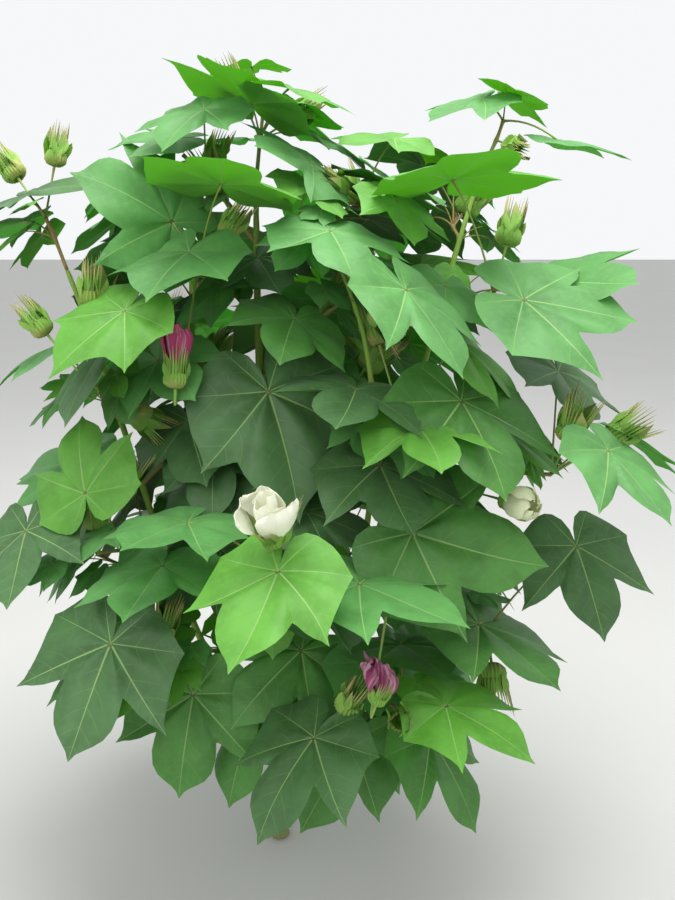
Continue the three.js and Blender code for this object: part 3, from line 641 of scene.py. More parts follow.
def shift_fruit(fruit, shift):
    """Moves a fruit, turns it away from its node again and marks its new place as taken."""
    fruit["foot"] = fruit["foot"] + np.array(shift)
    fruit["axis"] = unit(fruit["foot"] - fruit["node"])
    tip = fruit["foot"] + fruit["axis"] * FRUIT_HEIGHTS[fruit["kind"]]
    rods.add("shifted_fruit", start=fruit["foot"], end=tip, radius=FRUIT_ROOM)


def shown_leaf(branch, row, number):
    *place, azimuth, droop, length, tone = row
    for attempt in range(TRIES):
        draw = leaf_draws(branch, number, attempt)
        size = attempt * SHOWN_SWAY
        joint = np.array(place, float) + sway(draw, size)
        turned = azimuth + draw(-size, size)
        tipped = droop + draw(-size, size)
        if try_leaf(branch, nearest_node(branch, joint), joint, turned, tipped, length, draw, True, tone):
            branch["leaves"][-1]["turned"] = TURNED_LEAVES.get((branch["name"], number))
            return


print("stalks have", len(STALK_RADII), "radii")


# %% Leaves and branches by the rule
def rule_leaf(branch, number, first=RULE_LEAVES, stalk=LEAF_STALK, lengths=LEAF_LENGTH):
    node = branch["nodes"][number % len(branch["nodes"])]
    azimuth = azimuth_of(branch["points"][-1] - branch["root"])
    high = min(max((node[2] - HIGH_FROM) / HIGH_SPAN, 0), 1)
    size = mix(1, HIGH_SIZE, high)
    for attempt in range(TRIES):
        draw = leaf_draws(branch, number + first, attempt)
        turn = azimuth + (1 if number % 2 else -1) * draw(*LEAF_TURN)
        towards = heading(turn, draw(*LEAF_LIFT))
        joint = node + towards * draw(*stalk) * size
        spread = (azimuth_of(joint) - turn + 180) % 360 - 180
        blade_azimuth = turn + spread * LEAF_OUTWARD + draw(-LEAF_SWAY, LEAF_SWAY)
        droop = draw(0, mix(*STEEPEST_DROOP, high))
        length = draw(*lengths) * size
        if try_leaf(branch, node, joint, blade_azimuth, droop, length, draw):
            return


def rule_fruit(branch):
    draw = draws(branch["seed"])
    for node in branch["nodes"]:
        foot = node + heading(draw(0, 360), FRUIT_LIFT) * FRUIT_REACH
        kind = "bud" if draw() < 0.5 else "boll"
        if draw() < FRUIT_SHARE:
            add_fruit(branch, kind, foot)


def rule_branch(row, number, name, limb):
    at = mix(row["start"], row["end"], number / (row["count"] - 1))
    root = curve_point(limb["handles"], at)
    room = crown_radius(root[2]) - math.hypot(root[0], root[1])
    for attempt in range(TRIES):
        draw = draws((row["seed"] + number) * TRIES + attempt)
        azimuth = row["azimuth"] + number * RULE_TURN + attempt * RULE_RETURN
        reach = max(RULE_SHORTEST, room * draw(*RULE_REACH))
        end = root + heading(azimuth, mix(*RULE_LIFT, at)) * reach
        if end[1] < RULE_FRONT or math.hypot(end[0], end[1]) > crown_radius(end[2]) - RULE_MARGIN:
            continue
        branch = start_branch(name, limb, at, end, RULE_NODES, row["seed"] + number)
        if branch:
            return branch
    return None


def rule_branches(row, limb):
    made = []
    for number in range(row["count"]):
        short = row["limb"].replace("_bough", "").replace("_stem", "")
        branch = rule_branch(row, number, f"foliage_{short}_{len(made) + 1}", limb)
        if branch:
            made.append(branch)
    return made


def keep_in_sight(place):
    towards = unit(np.array(BEST_VIEW, float) - place)
    sights.add("front", start=place, end=place + towards * SIGHT_REACH)


def keep_branch_in_sight(branch):
    for leaf in branch["leaves"]:
        keep_in_sight(leaf["joint"])
        for place in blade_points(leaf, np.array((-SIDE_LOBE, 0, SIDE_LOBE), float), SIGHT_ON_LOBE):
            keep_in_sight(place)
    for fruit in branch["fruit"]:
        keep_in_sight(fruit["foot"] + fruit["axis"] * FRUIT_MIDDLE)


print("up to", TRIES, "tries for each leaf")

# %% Grow the plant
shown = [start_branch(row["name"], limbs[row["limb"]], row["at"], np.array(row["end"], float), row["nodes"],
                      row["seed"]) for row in SHOWN_BRANCHES]
ruled = [branch for row in RULE_LIMBS for branch in rule_branches(row, limbs[row["limb"]])]
branches = shown + ruled
for branch, row in zip(shown, SHOWN_BRANCHES):
    for kind, *foot in row["fruit"]:
        add_fruit(branch, kind, np.array(foot, float))
for branch, row in zip(shown, SHOWN_BRANCHES):
    for number, leaf_row in enumerate(row["leaves"]):
        shown_leaf(branch, leaf_row, number)
for branch in shown:
    keep_branch_in_sight(branch)
for share in STEM_IN_SIGHT:
    keep_in_sight(curve_point(main_handles, share))
for branch in ruled:
    rule_fruit(branch)
for number in range(RULE_LEAVES):
    for branch in branches:
        rule_leaf(branch, number)
grown = sum(len(branch["leaves"]) for branch in branches)
for branch in shown:
    for leaf in branch["leaves"]:
        if leaf.get("turned"):
            turn_blade(leaf, *leaf["turned"])
    for number, fruit in enumerate(branch["fruit"]):
        shift_fruit(fruit, SHIFTED_FRUITS.get((branch["name"], number), (0, 0, 0)))
for number in range(FINE_LEAVES):
    for branch in branches:
        rule_leaf(branch, number, FINE_SEED // TRIES, FINE_STALK, FINE_LENGTH)
leaves = [leaf for branch in branches for leaf in branch["leaves"]]
fruits = [fruit for branch in branches for fruit in branch["fruit"]]
MASS_NAMES = [branch["name"] for branch in branches]
print(len(branches), "branches", grown, "leaves", len(leaves) - grown, "small leaves", len(fruits), "fruit")

# %% [markdown]
# Finishes
# A finish is a small network of nodes. Written node by node it is long and hard to read, so one class stands
# for a node's output and lets shader maths read as Python. Another holds a material and adds any node to it.

# %% Shader maths as Python
CHART = "chart"
MIX_FIRST, MIX_SECOND, MIX_RESULT = 6, 7, 2


class Output:
    """One output of a node. Sums and products on it add Math nodes."""

    def __init__(self, finish, socket):
        self.finish = finish
        self.socket = socket

    def math(self, operation, first, second):
        return self.finish.node("ShaderNodeMath", {"operation": operation}, {0: first, 1: second})

    def __add__(self, other):
        return self.math("ADD", self, other)

    def __sub__(self, other):
        return self.math("SUBTRACT", self, other)

    def __mul__(self, other):
        return self.math("MULTIPLY", self, other)

    def __truediv__(self, other):
        return self.math("DIVIDE", self, other)


class Finish:
    """A material with its Principled shader, and one method that adds any other node."""

    def __init__(self, name, **constants):
        self.material = bpy.data.materials.new(name)
        self.material.use_nodes = True
        self.tree = self.material.node_tree
        self.shader = self.tree.nodes["Principled BSDF"]
        for socket, value in constants.items():
            self.shader.inputs[socket.replace("_", " ")].default_value = value

    def node(self, kind, settings=None, sockets=None, output=0):
        node = self.tree.nodes.new(kind)
        for name, value in (settings or {}).items():
            setattr(node, name, value)
        for name, value in (sockets or {}).items():
            if isinstance(value, Output):
                self.tree.links.new(value.socket, node.inputs[name])
            else:
                node.inputs[name].default_value = value
        return Output(self, node.outputs[output])

    def mix(self, share, first, second):
        colours = {0: share, MIX_FIRST: first, MIX_SECOND: second}
        return self.node("ShaderNodeMix", {"data_type": "RGBA"}, colours, output=MIX_RESULT)

    def varied(self, share, colour, dark, light):
        """A colour that goes from darker to lighter as the share rises."""
        return self.mix(share, shade(colour, dark), shade(colour, light))

    def place(self):
        return self.node("ShaderNodeTexCoord", output="Object")

    def chart(self):
        """The piece's own map."""
        return self.node("ShaderNodeUVMap", {"uv_map": CHART})

    def parts(self, vector):
        """The three numbers of a vector."""
        split = self.node("ShaderNodeSeparateXYZ", None, {0: vector}).socket.node
        return [Output(self, socket) for socket in split.outputs]

    def noise(self, scale, detail=3, place=None):
        sockets = {"Vector": place or self.place(), "Scale": scale, "Detail": detail}
        return self.node("ShaderNodeTexNoise", None, sockets)

    def streaks(self, place, scales, detail):
        """Noise that is drawn out along one direction."""
        stretched = self.node("ShaderNodeMapping", None, {"Vector": place, "Scale": scales})
        return self.noise(1.0, detail, stretched)

    def dots(self, place, scale, edge, middle):
        """Round spots, sharp at their edge and full in their middle."""
        cells = self.node("ShaderNodeTexVoronoi", None, {"Vector": place, "Scale": scale})
        return self.step(cells, edge, middle)

    def step(self, value, low, high):
        """A share that rises smoothly from 0 at low to 1 at high."""
        settings = {"interpolation_type": "SMOOTHSTEP"}
        return self.node("ShaderNodeMapRange", settings, {0: value, 1: low, 2: high, 3: 0.0, 4: 1.0})

    def feed(self, socket, value):
        self.tree.links.new(value.socket, self.shader.inputs[socket])

    def bump(self, height, strength, distance):
        bump = {"Height": height, "Strength": strength, "Distance": distance}
        self.feed("Normal", self.node("ShaderNodeBump", None, bump))

    def glow(self, colour, share):
        """Mixes a translucent shader into the finish, for what is thin enough to let light through."""
        through = self.node("ShaderNodeBsdfTranslucent", None, {"Color": shade(colour)})
        own = Output(self, self.shader.outputs[0])
        both = self.node("ShaderNodeMixShader", None, {0: share, 1: own, 2: through})
        self.tree.links.new(both.socket, self.tree.nodes["Material Output"].inputs["Surface"])


def shade(colour, factor=1.0):
    return (*[min(part * factor, 1.0) for part in colour], 1.0)


def between(colour, other, share):
    return tuple(mix(part, other_part, share) for part, other_part in zip(colour, other))


print("shader maths ready")

# %% [markdown]
# Floor, air and light
# The plant stands on a plain pale floor under a pale sky. A wide soft lamp overhead stands for an overcast
# noon, so the upper leaves are bright and the ones under them fall into deep green. A second soft lamp at the
# front keeps the shaded leaves readable.

# %% Floor and light
FLOOR_SIZE = 30
FLOOR_GAP = 0.0005
FLOOR_GREY = (0.50, 0.50, 0.48)
FLOOR_CLOUDS = 3.0
AIR_COLOUR = (0.97, 0.985, 1.0)
AIR_STRENGTH = 0.95
SKY_LAMP = dict(place=(0.25, -0.1, 2.9), aim=(0.05, 0.0, 0.5), size=2.4, power=92)
FRONT_LAMP = dict(place=(-0.9, -2.1, 2.0), aim=(0.0, 0.0, 0.5), size=1.6, power=17)


def lamp(name, place, aim, size, power):
    data = bpy.data.lights.new(name, "AREA")
    data.shape = "DISK"
    data.size = size
    data.energy = power
    light = bpy.data.objects.new(name, data)
    light.location = place
    light.rotation_euler = (Vector(aim) - Vector(place)).to_track_quat("-Z", "Y").to_euler()
    bpy.context.scene.collection.objects.link(light)


bpy.ops.object.select_all(action="DESELECT")
bpy.ops.mesh.primitive_plane_add(size=FLOOR_SIZE, location=(0, 0, -FLOOR_GAP))
floor = bpy.context.object
floor.name = "floor"
floor_finish = Finish("floor_finish", Roughness=0.9)
floor_clouds = floor_finish.noise(FLOOR_CLOUDS)
floor_finish.feed("Base Color", floor_finish.varied(floor_clouds, FLOOR_GREY, 0.97, 1.03))
floor.data.materials.append(floor_finish.material)

world = bpy.data.worlds.new("pale_air")
world.use_nodes = True
world.node_tree.nodes["Background"].inputs["Color"].default_value = shade(AIR_COLOUR)
world.node_tree.nodes["Background"].inputs["Strength"].default_value = AIR_STRENGTH
bpy.context.scene.world = world
bpy.context.scene.view_settings.view_transform = "Standard"
lamp("sky_lamp", **SKY_LAMP)
lamp("front_lamp", **FRONT_LAMP)
print("floor and two lamps")

# %% [markdown]
# Gathering many small shapes
# A plant has hundreds of leaves, stalks and twigs. As single objects they would be slow to handle, so the
# vertices and faces of one kind are gathered in arrays and made into one mesh at the end, each face with the
# number of its material.

# %% Heaps of small shapes
# No rod starts along this direction, so it gives each rod's first ring a side.
ASKEW = (0.3, 0.9, 0.1)


class Heap:
    """Vertices, faces and material numbers of many small shapes, which become one joined piece.

    A shape may bring its chart, a place on the piece's own map for each vertex.
    """

    def __init__(self):
        self.points = []
        self.faces = []
        self.marks = []
        self.extra = {}
        self.count = 0

    def add(self, points, faces, marks=0, **extra):
        self.faces += [[corner + self.count for corner in face] for face in faces]
        self.marks += [marks] * len(faces) if isinstance(marks, int) else marks
        self.points.append(points)
        for name, values in extra.items():
            self.extra.setdefault(name, []).append(values)
        self.count += len(points)

    def piece(self, name, finishes, slot):
        mesh = bpy.data.meshes.new(name)
        mesh.from_pydata((np.vstack(self.points) * MM).tolist(), [], self.faces)
        for finish in finishes:
            mesh.materials.append(finish.material)
        mesh.polygons.foreach_set("material_index", np.array(self.marks, dtype=np.int32))
        mesh.polygons.foreach_set("use_smooth", np.ones(len(self.faces), bool))
        mesh.update()
        if "chart" in self.extra:
            corners = np.zeros(len(mesh.loops), np.int32)
            mesh.loops.foreach_get("vertex_index", corners)
            chart = np.vstack(self.extra["chart"])[corners]
            mesh.uv_layers.new(name=CHART).data.foreach_set("uv", chart.ravel())
        piece = bpy.data.objects.new(name, mesh)
        bpy.context.scene.collection.objects.link(piece)
        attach(piece, "root")
        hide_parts(*MASS_NAMES)
        mesh.calc_loop_triangles()
        print(name, len(mesh.loop_triangles), "triangles")
        return piece


def tube(points, radii, sides):
    """A round closed rod that follows its points, as vertices and faces."""
    points = np.array(points)
    tangents = ring_tangents(points)
    turns = np.arange(sides) * 2 * math.pi / sides
    side = np.cross(tangents[0], ASKEW)
    rings = []
    for place, along, radius in zip(points, tangents, radii):
        side = unit(side - along * (side @ along))
        other = np.cross(along, side)
        rings.append(place + radius * (np.outer(np.cos(turns), side) + np.outer(np.sin(turns), other)))
    faces = [list(range(sides))[::-1]]
    for i in range(len(points) - 1):
        low, high = i * sides, (i + 1) * sides
        faces += [(low + j, low + (j + 1) % sides, high + (j + 1) % sides, high + j) for j in range(sides)]
    faces.append([(len(points) - 1) * sides + j for j in range(sides)])
    return np.vstack(rings), faces


print("heaps ready")

# %% [markdown]
# The leaf
# A cotton leaf is a broad blade with three or five pointed lobes, pale main veins that fan out from a small
# red spot where the stalk joins, and a wavy margin. One could draw its outline and fill it, but the veins and
# the gentle waves need vertices in the right places. So the blade is a fan: columns run out from the joint,
# two close ones along each main vein with a pale strip between them, and rings cross them.

# %% Outlines and columns of the leaf
LOBED_LEAF = [(0, 1.0), (2.5, 0.93), (6, 0.885), (11, 0.845), (17, 0.80), (23, 0.74), (29, 0.655),
              (33, 0.585), (36, 0.54), (39, 0.575), (43, 0.67), (47, 0.755), (50, 0.81), (52, 0.89),
              (54, 0.815), (58, 0.77), (65, 0.72), (74, 0.675), (84, 0.64), (94, 0.635), (100, 0.66),
              (106, 0.61), (117, 0.555), (128, 0.52), (139, 0.49), (148, 0.465), (158, 0.415),
              (168, 0.32), (175, 0.19), (180, 0.06)]
BROAD_LEAF = [(0, 1.0), (2.5, 0.92), (6, 0.865), (17, 0.80), (29, 0.725), (36, 0.695), (43, 0.705),
              (50, 0.765), (52, 0.83), (54, 0.77), (65, 0.695), (84, 0.645), (94, 0.64), (100, 0.655),
              (106, 0.615), (128, 0.53), (148, 0.475), (158, 0.425), (168, 0.33), (175, 0.19), (180, 0.06)]
FULL_ANGLES = [angle for angle, _ in LOBED_LEAF]
MIDDLE_ANGLES = (0, 2.5, 6, 17, 29, 36, 43, 50, 52, 54, 65, 84, 100, 117, 139, 148, 158, 168, 180)
FULL_VEINS = (0, 52, 100, 148)
FULL_RINGS = (0.035, 0.16, 0.34, 0.52, 0.70, 0.86, 1.0)
MIDDLE_RINGS = (0.035, 0.22, 0.5, 0.78, 1.0)
VEIN_HALF = 0.0085
OUTER_VEIN = 0.6
VEIN_TAPER = 0.85
MARK_TOP, MARK_UNDER, MARK_VEIN, MARK_SPOT = range(4)


def rims_at(outline, angles):
    return np.interp(np.abs(angles), *zip(*outline))


class LeafPattern:
    """Angles and reaches of a leaf's grid for a blade of length 1, its faces and the marks on them."""

    def __init__(self, half_angles, veins, rings):
        half = [(angle, vein) for angle in half_angles for vein in ((-1, 1) if angle in veins else (0,))]
        right = [(angle, vein) for angle, vein in half if 0 < angle < 180]
        left = [(-angle, -vein) for angle, vein in reversed(right)]
        columns = [*left, (0, -1), (0, 1), *right, (180, 0)]
        self.angles = np.array([angle for angle, _ in columns], float)
        self.borders = np.array([vein for _, vein in columns])
        self.rings = np.array(rings)
        lines = sorted({*veins, *[-vein for vein in veins], -180, 180})
        self.before, self.after, self.share = self.between_veins(lines)
        nearest = [min(veins, key=lambda vein: abs(vein - abs(angle))) for angle in self.angles]
        self.off_vein = np.radians(np.abs(self.angles) - nearest)
        self.lobed_rims = rims_at(LOBED_LEAF, self.angles)
        self.broad_rims = rims_at(BROAD_LEAF, self.angles)
        self.faces, self.marks = self.make_faces()

    def between_veins(self, lines):
        """The veins before and after each column, and how far it lies from one to the other."""
        before = np.array([max(line for line in lines if line < angle) for angle in self.angles])
        after = np.array([min(line for line in lines if line >= angle) for angle in self.angles])
        before = np.where(self.borders > 0, self.angles, before)
        span = after - before + (after == before)
        return before, after, np.where(self.borders > 0, 0, (self.angles - before) / span)

    def make_faces(self):
        count, last = len(self.angles), len(self.rings) - 1
        top = 1 + count * np.arange(last + 1)
        under_centre = 1 + count * (last + 1)
        under = np.append(under_centre + 1 + count * np.arange(last), top[-1])
        faces, marks = [], []
        for j in range(count):
            k = (j + 1) % count
            on_vein = self.borders[j] == -1 and self.borders[k] == 1
            faces += [(0, top[0] + j, top[0] + k), (under_centre, under[0] + k, under[0] + j)]
            marks += [MARK_SPOT, MARK_UNDER]
            for i in range(last):
                faces.append((top[i] + j, top[i + 1] + j, top[i + 1] + k, top[i] + k))
                faces.append((under[i] + j, under[i] + k, under[i + 1] + k, under[i + 1] + j))
                marks += [MARK_VEIN, MARK_VEIN] if on_vein else [MARK_TOP, MARK_UNDER]
        return [[int(corner) for corner in face] for face in faces], marks


patterns = {
    "full": LeafPattern(FULL_ANGLES, FULL_VEINS, FULL_RINGS),
    "middle": LeafPattern(MIDDLE_ANGLES, FULL_VEINS, MIDDLE_RINGS),
}
for name, pattern in patterns.items():
    print(name, "pattern has", len(pattern.angles), "columns and", len(pattern.faces), "faces")

# %% [markdown]
# Every leaf is its own
# A leaf that is copied unchanged gives the plant away as a model. Each blade therefore draws how far its
# lobes reach, how deep the folds between its veins are, how its margin waves and how its tips curl. Tips curl
# by up to fifteen millimetres, and the lobes beside the stalk rise by up to twenty. The rest of a blade stays
# within about a centimetre of the measured one.

# %% Reach of the lobes
LOBES = (0, SIDE_LOBE, -SIDE_LOBE)
LOBE_SPREAD = 18
LOBE_DRAW = (-0.09, 0.027)
HIGH_LEAVES = dict(broad_share=0.048, usual=(-0.8, 0))
LOW_LEAVES = dict(broad_share=0.16, usual=(-0.5, 0.25))
BROAD_DRAW = (0.5, 0.9)


def near_lobe(pattern, lobe):
    return np.exp(-((pattern.angles - lobe) / LOBE_SPREAD) ** 2)


def varied_rims(pattern, draw, habit):
    """How far a blade reaches at each column, between a deeply lobed leaf and a broad one."""
    lobes = np.ones(len(pattern.angles))
    for lobe in LOBES:
        lobes += draw(*LOBE_DRAW) * near_lobe(pattern, lobe)
    is_broad = draw() < habit["broad_share"]
    broad = draw(*BROAD_DRAW) if is_broad else draw(*habit["usual"])
    return mix(pattern.lobed_rims, pattern.broad_rims, broad) * lobes


print("lobes reach", LOBE_DRAW, "further or less far than measured")

# %% Shape one blade
SHAPE_SEED = 7
LEAF_BEND = 6
WIDEST_VEIN = 0.3
LAST_VEIN = 148
DOME = 1.35
PUCKER, PUCKER_DRAW = 0.078, (0.7, 1.3)
MARGIN_WAVE, WAVE_DRAW = 0.021, (0.5, 1.4)
WAVE_COUNT = (5, 9)
PHASES = (0, 6.28)
TIP_CURL, CURL_DRAW = 0.11, (-0.4, 1)
FOLD, FOLD_DRAW = 0.07, (-0.3, 1)
BASE_LIFT, LIFT_DRAW = 0.42, (0.3, 1)
LIFT_CURVE = 1.5
BLADE_THICK = 0.5


def fan_angles(pattern, shares, bend):
    """Angles of the columns on each ring: close together along the veins, and all bent to one side."""
    lines = np.abs(np.stack((pattern.before, pattern.after)))
    narrow = np.where(lines > SIDE_LOBE, OUTER_VEIN, 1.0) * (lines < 180)
    width = VEIN_HALF * (1 - VEIN_TAPER * shares) * narrow[:, None, :]
    reach = shares * rims_at(LOBED_LEAF, lines)[:, None, :]
    offsets = np.degrees(np.arcsin(np.minimum(width / reach, WIDEST_VEIN)))
    angles = mix(pattern.before + offsets[0], pattern.after - offsets[1], pattern.share)
    return angles + LEAF_BEND * bend * shares ** 2 * np.cos(np.radians(pattern.angles / 2))


def blade_heights(pattern, rims, shares, turns, draw):
    """How far the points of a blade stand off its frame: its dome, puckers, waves, curls and fold."""
    reach = shares * rims
    bulge = np.sin(math.pi * pattern.share) ** 2 * (np.abs(pattern.angles) < LAST_VEIN)
    height = -LEAF_DROOP * rims ** 2 * shares ** DOME
    height = height + PUCKER * draw(*PUCKER_DRAW) * bulge * shares * (1 - shares ** 2)
    waves, start = round(draw(*WAVE_COUNT)), draw(*PHASES)
    ripple = np.sin(waves * np.radians(pattern.angles) + start)
    height = height + MARGIN_WAVE * draw(*WAVE_DRAW) * shares ** 3 * ripple
    for lobe in LOBES:
        height = height - TIP_CURL * draw(*CURL_DRAW) * near_lobe(pattern, lobe) * shares ** 4
    height = height + FOLD * draw(*FOLD_DRAW) * np.abs(np.sin(turns)) * reach * (1 - 0.5 * shares)
    return height + BASE_LIFT * draw(*LIFT_DRAW) * np.maximum(0, -np.cos(turns)) ** LIFT_CURVE * reach


def blade_mesh(leaf, pattern, habit):
    """The points of a blade, their places on its map, and which of them lie on its rim."""
    draw = draws(leaf["seed"] + SHAPE_SEED)
    rims = varied_rims(pattern, draw, habit)
    shares = pattern.rings[:, None]
    reach = shares * rims
    turns = np.radians(fan_angles(pattern, shares, draw(-1, 1)))
    height = blade_heights(pattern, rims, shares, turns, draw)
    grid = np.stack((reach * np.cos(turns), reach * np.sin(turns), height), -1)
    grid = grid.reshape(-1, 3) * leaf["length"]
    thick = np.repeat(BLADE_THICK * (1 - pattern.rings[:-1] ** 2), len(pattern.angles))
    inner = grid[: len(thick)] - np.outer(thick, (0, 0, 1))
    local = np.vstack(([(0, 0, 0)], grid, [(0, 0, -BLADE_THICK)], inner))
    off = np.broadcast_to(pattern.off_vein, reach.shape)
    along = np.stack((reach * np.cos(off), reach * np.abs(np.sin(off))), -1).reshape(-1, 2)
    chart = np.vstack(([(0, 0)], along, [(0, 0)], along[: len(thick)]))
    rim = np.zeros(len(local), bool)
    rim[1 + len(grid) - len(pattern.angles): 1 + len(grid)] = True
    return leaf["joint"] + local @ np.stack((leaf["ahead"], leaf["side"], leaf["face"])), chart, rim


print("each blade draws its own lobes, folds and waves")

# %% [markdown]
# The finish of the leaves
# Leaves are not one green. Old blades are dark and bluish, full-grown ones plain green, and the young ones at
# the tips nearly yellow. A blade is also thin enough to let light through, which is why the leaves overhead
# glow from below. A part of each material is therefore translucent, and fine side veins ride on the blade's
# own map.

# %% Finish of the leaves
LEAF_GREENS = {"dark": (0.073, 0.176, 0.055), "middle": (0.090, 0.262, 0.052),
               "light": (0.138, 0.37, 0.105), "young": (0.154, 0.42, 0.060)}
LEAF_GLOW = {"dark": (0.10, 0.34, 0.006), "middle": (0.15, 0.48, 0.006),
             "light": (0.21, 0.62, 0.008), "young": (0.32, 0.70, 0.010)}
GLOW_SHARE = {"dark": 0.22, "middle": 0.3, "light": 0.36, "young": 0.38}
LEAF_SHEEN = {"Sheen_Weight": 0.16, "Sheen_Roughness": 0.35, "Sheen_Tint": (0.75, 1.0, 0.85, 1.0)}
UNDER_PALE = (0.30, 0.46, 0.20)
VEIN_GREEN = (0.33, 0.52, 0.17)
SPOT_RED = (0.13, 0.045, 0.03)
UNDER_GLOW = 0.12
VEIN_GLOW = 0.2
TOP_BLOTCHES, TOP_MOTTLES, TOP_GRAIN = 24.0, 160.0, 700.0
UNDER_BLOTCHES = 30.0
VEIN_BLOTCHES = 80.0
SPOT_GRAIN = 300.0
MOTTLE_SHARE = 0.35
RELIEF = 0.0008
LEAF_RELIEF = 0.35

SIDE_VEINS = 6.0
SIDE_VEIN_SLOPE = 0.6
SIDE_VEIN_ARCH = 1.9
SIDE_VEIN_WOBBLE, WOBBLE_SHARE = 30.0, 0.3
SIDE_VEIN_EDGE = (0.455, 0.495)
SIDE_VEIN_REACH = (0.30, 0.12)
SIDE_VEIN_ENDS = (0.43, 0.26)
SIDE_VEIN_SHARE = 0.4
SIDE_VEIN_SINKS = -0.6


def side_vein_lines(finish):
    """Lines that leave a main vein at a slant, as on a feather, from the blade's own map."""
    along, across, _ = finish.parts(finish.chart())
    arched = across * across * SIDE_VEIN_ARCH + across * SIDE_VEIN_SLOPE
    place = (along - arched) * SIDE_VEINS + finish.noise(SIDE_VEIN_WOBBLE) * WOBBLE_SHARE
    ridge = finish.node("ShaderNodeMath", {"operation": "PINGPONG"}, {0: place, 1: 0.5})
    fading = finish.step(across / along, *SIDE_VEIN_ENDS)
    return finish.step(ridge, *SIDE_VEIN_EDGE) * finish.step(across, *SIDE_VEIN_REACH) * fading


def leaf_top(tone):
    green = LEAF_GREENS[tone]
    finish = Finish(f"leaf_{tone}", Roughness=0.48, Specular_IOR_Level=0.45, **LEAF_SHEEN)
    colour = finish.varied(finish.step(finish.noise(TOP_BLOTCHES), 0.3, 0.7), green, 0.82, 1.16)
    mottles = finish.step(finish.noise(TOP_MOTTLES), 0.45, 0.7)
    colour = finish.mix(mottles * MOTTLE_SHARE, colour, shade(green, 1.35))
    lines = side_vein_lines(finish)
    pale = shade(between(green, VEIN_GREEN, 0.45))
    finish.feed("Base Color", finish.mix(lines * SIDE_VEIN_SHARE, colour, pale))
    grain = finish.noise(TOP_GRAIN, 2) * 0.35
    finish.bump(lines * SIDE_VEIN_SINKS + grain, LEAF_RELIEF, RELIEF)
    finish.glow(LEAF_GLOW[tone], GLOW_SHARE[tone])
    return finish


def leaf_under(tone):
    finish = Finish(f"leaf_{tone}_under", Roughness=0.75, Specular_IOR_Level=0.3)
    pale = between(LEAF_GREENS[tone], UNDER_PALE, 0.2)
    finish.feed("Base Color", finish.varied(finish.noise(UNDER_BLOTCHES), pale, 0.9, 1.1))
    finish.bump(side_vein_lines(finish), LEAF_RELIEF, RELIEF)
    finish.glow(LEAF_GLOW[tone], GLOW_SHARE[tone] + UNDER_GLOW)
    return finish


def leaf_vein(tone):
    finish = Finish(f"vein_{tone}", Roughness=0.6)
    pale = between(LEAF_GREENS[tone], VEIN_GREEN, 0.75)
    finish.feed("Base Color", finish.varied(finish.noise(VEIN_BLOTCHES), pale, 0.92, 1.08))
    finish.glow(LEAF_GLOW[tone], VEIN_GLOW)
    return finish


def joint_spot():
    finish = Finish("leaf_joint_spot", Roughness=0.6)
    colours = shade(SPOT_RED), shade(LEAF_GREENS["middle"])
    finish.feed("Base Color", finish.mix(finish.noise(SPOT_GRAIN), *colours))
    return finish


spot = joint_spot()
leaf_finishes = {tone: [leaf_top(tone), leaf_under(tone), leaf_vein(tone), spot] for tone in LEAF_GREENS}
print(len(leaf_finishes) * 3 + 1, "leaf materials")

# %% Make the leaves
# Low and inner leaves draw darker tones: older leaves grow there, and the crown's shade is painted into them.
HIGH_TONES = [("light", 0.42), ("middle", 0.28), ("young", 0.18), ("dark", 0.12)]
OLD_AND_SHADED_TONES = [("dark", 0.42), ("middle", 0.4), ("light", 0.18)]
FINE_TONES = [("young", 0.45), ("light", 0.4), ("middle", 0.15)]
TONE_STRIDE, TONE_SEED = 3, 5
HIGH_CROWN = 560
TOP_SHOOTS = 860
INNER_SHARE = 0.42
FINE_LIMIT = 78


def in_the_sun(place):
    """Whether a leaf is high in the crown and not deep inside it, where older leaves grow and painted shade
    goes.
    """
    deep = place[2] < TOP_SHOOTS and math.hypot(place[0], place[1]) < INNER_SHARE * crown_radius(place[2])
    return place[2] > HIGH_CROWN and not deep


def drawn_tone(leaf):
    draw = draws(leaf["seed"] * TONE_STRIDE + TONE_SEED)
    draw()
    choice = draw()
    tones = HIGH_TONES if in_the_sun(leaf["joint"]) else OLD_AND_SHADED_TONES
    if leaf["length"] < FINE_LIMIT:
        tones = FINE_TONES
    for tone, share in tones:
        choice -= share
        if choice < 0:
            return tone
    return tones[-1][0]


heaps = {tone: Heap() for tone in LEAF_GREENS}
for leaf in leaves:
    leaf["tone"] = leaf["tone"] or drawn_tone(leaf)
    pattern = patterns["middle" if leaf["length"] < FINE_LIMIT else "full"]
    habit = HIGH_LEAVES if leaf["joint"][2] > HIGH_CROWN else LOW_LEAVES
    points, chart, rim = blade_mesh(leaf, pattern, habit)
    heaps[leaf["tone"]].add(points, pattern.faces, pattern.marks, chart=chart, rim=rim)


def sharpen_rims(mesh, heap):
    """Sharp edges where the two faces of a blade meet."""
    ends = np.zeros(len(mesh.edges) * 2, np.int32)
    mesh.edges.foreach_get("vertices", ends)
    sharp = np.concatenate(heap.extra["rim"])[ends.reshape(-1, 2)].all(1)
    mesh.attributes.new("sharp_edge", "BOOLEAN", "EDGE").data.foreach_set("value", sharp)


for tone, heap in heaps.items():
    piece = heap.piece(f"leaves_{tone}", leaf_finishes[tone], "foliage")
    sharpen_rims(piece.data, heap)

# %% [markdown]
# Leaf stalks and twigs
# A cotton leaf hangs out on a stalk nearly as long as itself, green and flushed with red on its sunny side.
# The twig under it zigzags from node to node. Both are round rods along smooth curves, thicker at their
# joints.

